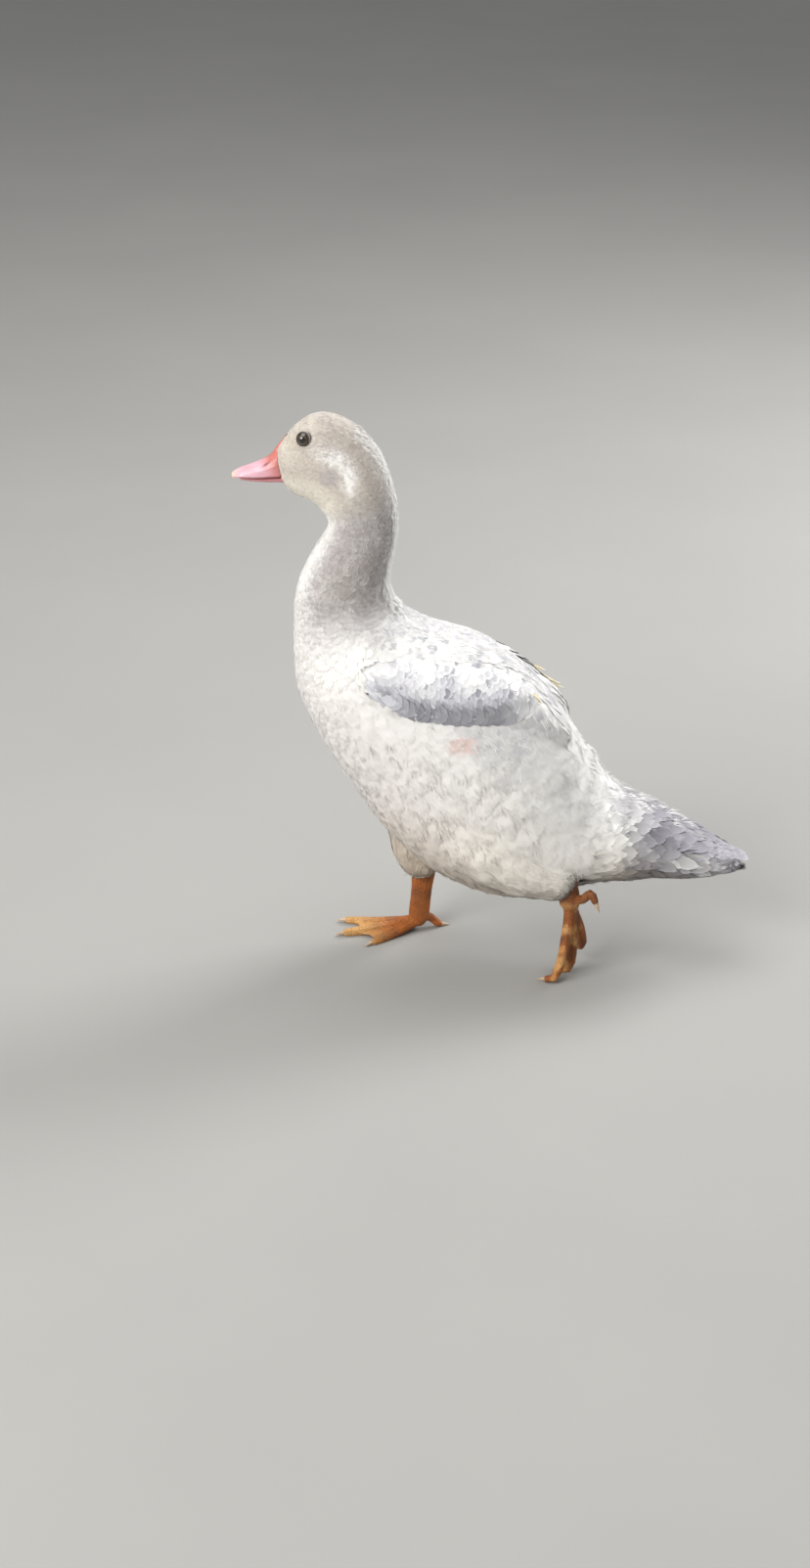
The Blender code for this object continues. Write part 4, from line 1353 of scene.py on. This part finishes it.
def wing_spots(side):
    """Roots of the wing coverts in slanting rows: places on the skin, normals and shares of the height."""
    roots, normals, shares = [], [], []
    for column in range(WING_COLUMNS):
        x = WING_START + WING_RUN * column / (WING_COLUMNS - 1)
        low = np.interp(x, *np.array(WING_LOWER).T)
        high = np.interp(x, *np.array(WING_UPPER).T)
        count = max(2, round((high - low) * 1.12 / COVERT_PITCH))
        for row in range(count):
            share = COVERT_TOP[side] * (row + 0.5 * (column % 2)) / count + RNG.normal(0, 0.012)
            z = low + COVERT_REACH + (high - low - COVERT_REACH) * share
            start = Vector((x + RNG.normal(0, 0.0005), side * 0.2, z))
            hit = SKIN_TREE.ray_cast(start, Vector((0, -side, 0)), 0.3)
            if hit[0]:
                roots.append(tuple(hit[0]))
                normals.append(FACE_NORMALS[hit[2]])
                shares.append(share)
    return np.array(roots), unit(np.array(normals)), np.array(shares)


def wing_coverts(side):
    """Rounded coverts in slanting rows over the folded wing, longer towards its lower edge."""
    roots, normals, shares = wing_spots(side)
    lie = wing_lie(np.full(len(roots), side), 0.45 + 0.25 * (1 - shares))
    lie = on_surface(lie + RNG.normal(0, 0.04, lie.shape), normals)
    lengths = (COVERT_LENGTH + COVERT_LONGER * (1 - clamp(shares))) * RNG.uniform(0.94, 1.06, len(roots))
    depth = COVERT_DEPTH + COVERT_SWELL * fade(0.0, 0.3, shares) - COVERT_THIN * ease(0.55, 0.95, shares)
    depth = depth * (0.35 + 0.65 * ease(-0.118, -0.094, roots[:, 0]))
    depth = depth * (1 - 0.45 * ease(0.005, 0.040, roots[:, 0]))
    lifts = (depth * 0.40, depth * RNG.uniform(0.95, 1.06, len(roots)))
    feathers(f"wing_coverts_{SIDE_NAME[side]}", ROUND, roots, normals, lie, lengths,
             lengths * COVERT_HALF, lifts,
             coat_look(1.0, 0.05, 0.12, 0.05), ragged=0.05, soften=0.65, shape=ROUND_WIDTH,
             slot="feather_grey")


TAIL_TAPER = 11.0            # how sharply the tail feathers draw together, per metre off the middle
TAIL_BLUNT = 0.60            # how far off the skin a way may point before it counts as the blunt end
TAIL_COVERT = 0.0300         # length, and half width as a share of it
TAIL_COVERT_SLIM = 0.215
QUILL_LENGTH = 0.046
QUILL_HALF = 0.0058
QUILL_PAST = 0.0070          # how far the middle quills reach past the skin's tip
QUILL_STEP = 0.0055          # how much less far the outer ones do
QUILL_TIER = 0.28            # how much shorter the outermost quills are, as a share


def tail_rows(first, last, scale, jitter):
    """Roots on the tail without those on its blunt end, their normals, lie, and runs along the spine."""
    roots, normals, ways = body_roots(first, last, scale, jitter)
    keep = np.einsum("ij,ij->i", normals, ways) < TAIL_BLUNT
    roots, normals, ways = roots[keep], normals[keep], ways[keep]
    s, _, _ = spine_place(roots)
    lie = ways + RNG.normal(0, 0.09, ways.shape)
    lie[:, 1] -= TAIL_TAPER * roots[:, 1] * ease(MARK["coverts"], MARK["vanes"], s)
    return roots, normals, on_surface(lie, normals), s


def tail_coverts():
    """Large coverts over the root of the tail, above and below."""
    roots, normals, lie, s = tail_rows(MARK["rump"] + 0.020, MARK["quills"] - 0.008, 1.35, 0.22)
    lengths = TAIL_COVERT * RNG.uniform(0.85, 1.15, len(roots))
    depth = table(COAT_DEPTH, s) * (1 - 0.15 * ease(MARK["coverts"], MARK["quills"], s))
    lifts = (depth * 0.50, depth * RNG.uniform(0.90, 1.10, len(roots)))
    feathers("tail_coverts", ROUND, roots, normals, lie, lengths, lengths * TAIL_COVERT_SLIM, lifts,
             coat_look(0.5, 0.14, 0.55, 0.09), ragged=0.04, soften=0.45, shape=POINTED_WIDTH,
             slot="feather_grey")


def tail_quills():
    """Long quills over the end of the tail, above and below, the middle ones longest."""
    roots, normals, lie, s = tail_rows(MARK["coverts"] + 0.006, MARK["vanes"], 1.55, 0.10)
    off = np.abs(roots[:, 1])
    past = QUILL_PAST - QUILL_STEP * ease(0.002, 0.012, off)
    lengths = np.minimum(QUILL_LENGTH, RUN[-1] + past - s) * RNG.uniform(0.95, 1.0, len(roots))
    lengths = lengths * (1 - QUILL_TIER * ease(0.006, 0.024, off))
    depth = table(COAT_DEPTH, s)
    feathers("tail_quills", LARGE, roots, normals, lie, lengths, np.full(len(roots), QUILL_HALF),
             (depth * 0.20, depth * 0.75), quill_look, steps=6, camber=0.10, ragged=0.012, soften=0.55,
             shape=QUILL_WIDTH, slot="feather_grey")


def quill_look(out, across, roots, seeds):
    """Tail quills: a pale shaft and fringe, darker vanes between them that are partly their own grey and
    partly painted shade, and painted shade towards the root.
    """
    colour, dark, _ = plumage(roots)
    side = np.abs(across)
    # the darker band along the vanes is partly their own grey and partly painted shade between the quills
    vane = (0.40 * ease(0.06, 0.30, side) * fade(0.55, 0.85, side) * fade(0.80, 0.96, out))[..., None]
    fringe = np.maximum(ease(0.70, 0.94, side), ease(0.90, 1.0, out))
    pale = (0.7 * fringe * ease(0.25, 0.55, out))[..., None]
    tint = colour[:, None] * (1 - vane) + dark[:, None] * vane
    tint = tint * (1 - pale) + TAIL_EDGE * pale
    # painted shade: darker towards the root, under the coverts
    level = 0.90 + 0.16 * seeds[:, 1:] - 0.30 * fade(0.20, 0.60, out)
    return tint * level[..., None]


PIN_SHEATH = srgb(226, 204, 160)
PIN_TIP = srgb(236, 234, 230)
PIN_COUNT = 4
PIN_START = {1: (0.0540, 0.2700), -1: (0.0465, 0.2810)}     # x and z of the first pin on each side
PIN_WAY = {1: (0.85, 0.10, -0.45), -1: (0.45, 0.05, -0.85)}
PIN_STEP = (0.0022, -0.0045)                # from each pin to the next
PIN_OFF = 0.045              # from the bird's middle plane, before it moves onto the skin
PIN_LIFT = 0.0038
PIN_LENGTH = 0.0120
PIN_LONGER = 0.0020          # each pin than the one before
PIN_RADIUS = 0.00105
PIN_PLACES = (0, 0.3, 0.6, 0.85, 1.0)       # shares of a pin's length at which it has a ring of points
PIN_SIDES = 8


def wing_pins(side):
    """Growing flight quills in their sheaths, sticking out behind the short wing."""
    points, faces = [], []
    for i in range(PIN_COUNT):
        x, z = (first + step * i for first, step in zip(PIN_START[side], PIN_STEP))
        hit = SKIN_TREE.find_nearest(Vector((x, side * PIN_OFF, z)))
        root = np.array(hit[0]) + FACE_NORMALS[hit[2]] * PIN_LIFT
        way = unit(np.array(PIN_WAY[side]) + RNG.normal(0, 0.05, 3))
        size = PIN_LENGTH + PIN_LONGER * i
        line = [(tuple(root + way * size * t), PIN_RADIUS * (1 - 0.55 * t ** 2)) for t in PIN_PLACES]
        mesh = tube_mesh("pin", line, PIN_SIDES)
        offset = sum(map(len, points))
        points.append(points_of(mesh))
        faces += [tuple(offset + k for k in face) for face in faces_of(mesh)]
    share = np.tile(np.linspace(0, 1, len(PIN_PLACES)).repeat(PIN_SIDES), PIN_COUNT)
    tints = mix(PIN_SHEATH, PIN_TIP, ease(0.5, 0.9, share))
    obj = mesh_object(f"wing_pins_{SIDE_NAME[side]}", np.concatenate(points), face_arrays(faces),
                      PIN_MATERIAL, tints)
    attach(obj, "root")


FEATHER_MATERIAL = feather_material("plumage_feathers", 0.06, 0.15)
DOWN_MATERIAL = feather_material("plumage_down", 0.06, 0.08)
PIN_MATERIAL = bill_material("pin_sheath", 0.45)
EYE_MATERIAL = eye_material()
BILL_TREE = bill_tree()

SKIN_OBJECT = joined_skin()
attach(SKIN_OBJECT, "root")
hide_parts(*FLESH, "shank_right", "shank_left", "foot_right", "foot_left")
bill_pieces()
for name in EYES:
    eyeball(name)
    lid_ring(name)
for side in SIDES:
    claw_pieces(side)

MOTTLED = {"look": coat_look(1.3, 0.03, 0.04, 0.14), "ragged": 0.05, "soften": 0.90}
SILKY = {"look": coat_look(1.0, 0.02, 0.02, 0.03), "ragged": 0.10, "soften": 0.95, "camber": 0.06}
coat_over("coat_head", SMALL, 0.0, MARK["nape"], **MOTTLED)
coat_over("coat_neck", SMALL, MARK["nape"] - 0.002, MARK["lower_neck"], wide=1.1, **MOTTLED)
coat_over("coat_shoulders", SILK, MARK["lower_neck"] - 0.004, MARK["breast"], select=off_wing, **SILKY)
coat_over("coat_breast", SILK, MARK["breast"] - 0.004, MARK["belly"], select=off_wing, **SILKY)
coat_over("coat_belly", SILK, MARK["belly"] - 0.004, MARK["rump"], select=off_wing, **SILKY)
coat_over("coat_rump", SILK, MARK["rump"] - 0.004, MARK["vent"] + 0.010, **SILKY)
tail_coverts()
tail_quills()
for side in SIDE_NAME:
    wing_coverts(side)
    wing_pins(side)
flank_down()
rim_down()

# ---------------------------------------------------------------- studio

CAMERA_AT = (-0.0762, -2.366, 1.2406)
CAMERA_TILT = 24.5              # degrees that it looks down
LENS = 68.94
SENSOR = 36.0

camera = bpy.data.objects.new("camera", bpy.data.cameras.new("camera"))
camera.data.lens = LENS
camera.data.sensor_width = SENSOR
camera.location = CAMERA_AT
camera.rotation_euler = (math.radians(90 - CAMERA_TILT), 0, 0)
bpy.context.scene.collection.objects.link(camera)
bpy.context.scene.camera = camera


def area_light(name, at, aim, size, power, colour):
    light = bpy.data.lights.new(name, "AREA")
    light.size = size
    light.energy = power
    light.color = colour
    obj = bpy.data.objects.new(name, light)
    obj.location = at
    obj.rotation_euler = (Vector(aim) - Vector(at)).to_track_quat("-Z", "Y").to_euler()
    bpy.context.scene.collection.objects.link(obj)


area_light("sky", (-0.3, 0.2, 2.8), (0, 0, 0.25), 2.2, 48, (1.0, 0.99, 0.97))
area_light("key", (-2.1, -2.2, 1.9), (0, 0, 0.25), 2.0, 130, (1.0, 0.985, 0.965))
area_light("behind", (1.7, 1.3, 1.5), (0, 0, 0.3), 1.0, 62, (0.98, 0.99, 1.0))

world = bpy.data.worlds.new("studio")
world.use_nodes = True
world.node_tree.nodes["Background"].inputs["Color"].default_value = (0.90, 0.92, 0.95, 1)
world.node_tree.nodes["Background"].inputs["Strength"].default_value = 0.42
bpy.context.scene.world = world

bpy.context.scene.view_settings.view_transform = "Standard"

FLOOR_HALF = 12.0
FLOOR_CORNERS = FLOOR_HALF * np.array([(-1, -1, 0), (1, -1, 0), (1, 1, 0), (-1, 1, 0)])
floor = mesh_object("floor", FLOOR_CORNERS, [np.array([(0, 1, 2, 3)])], floor_material())
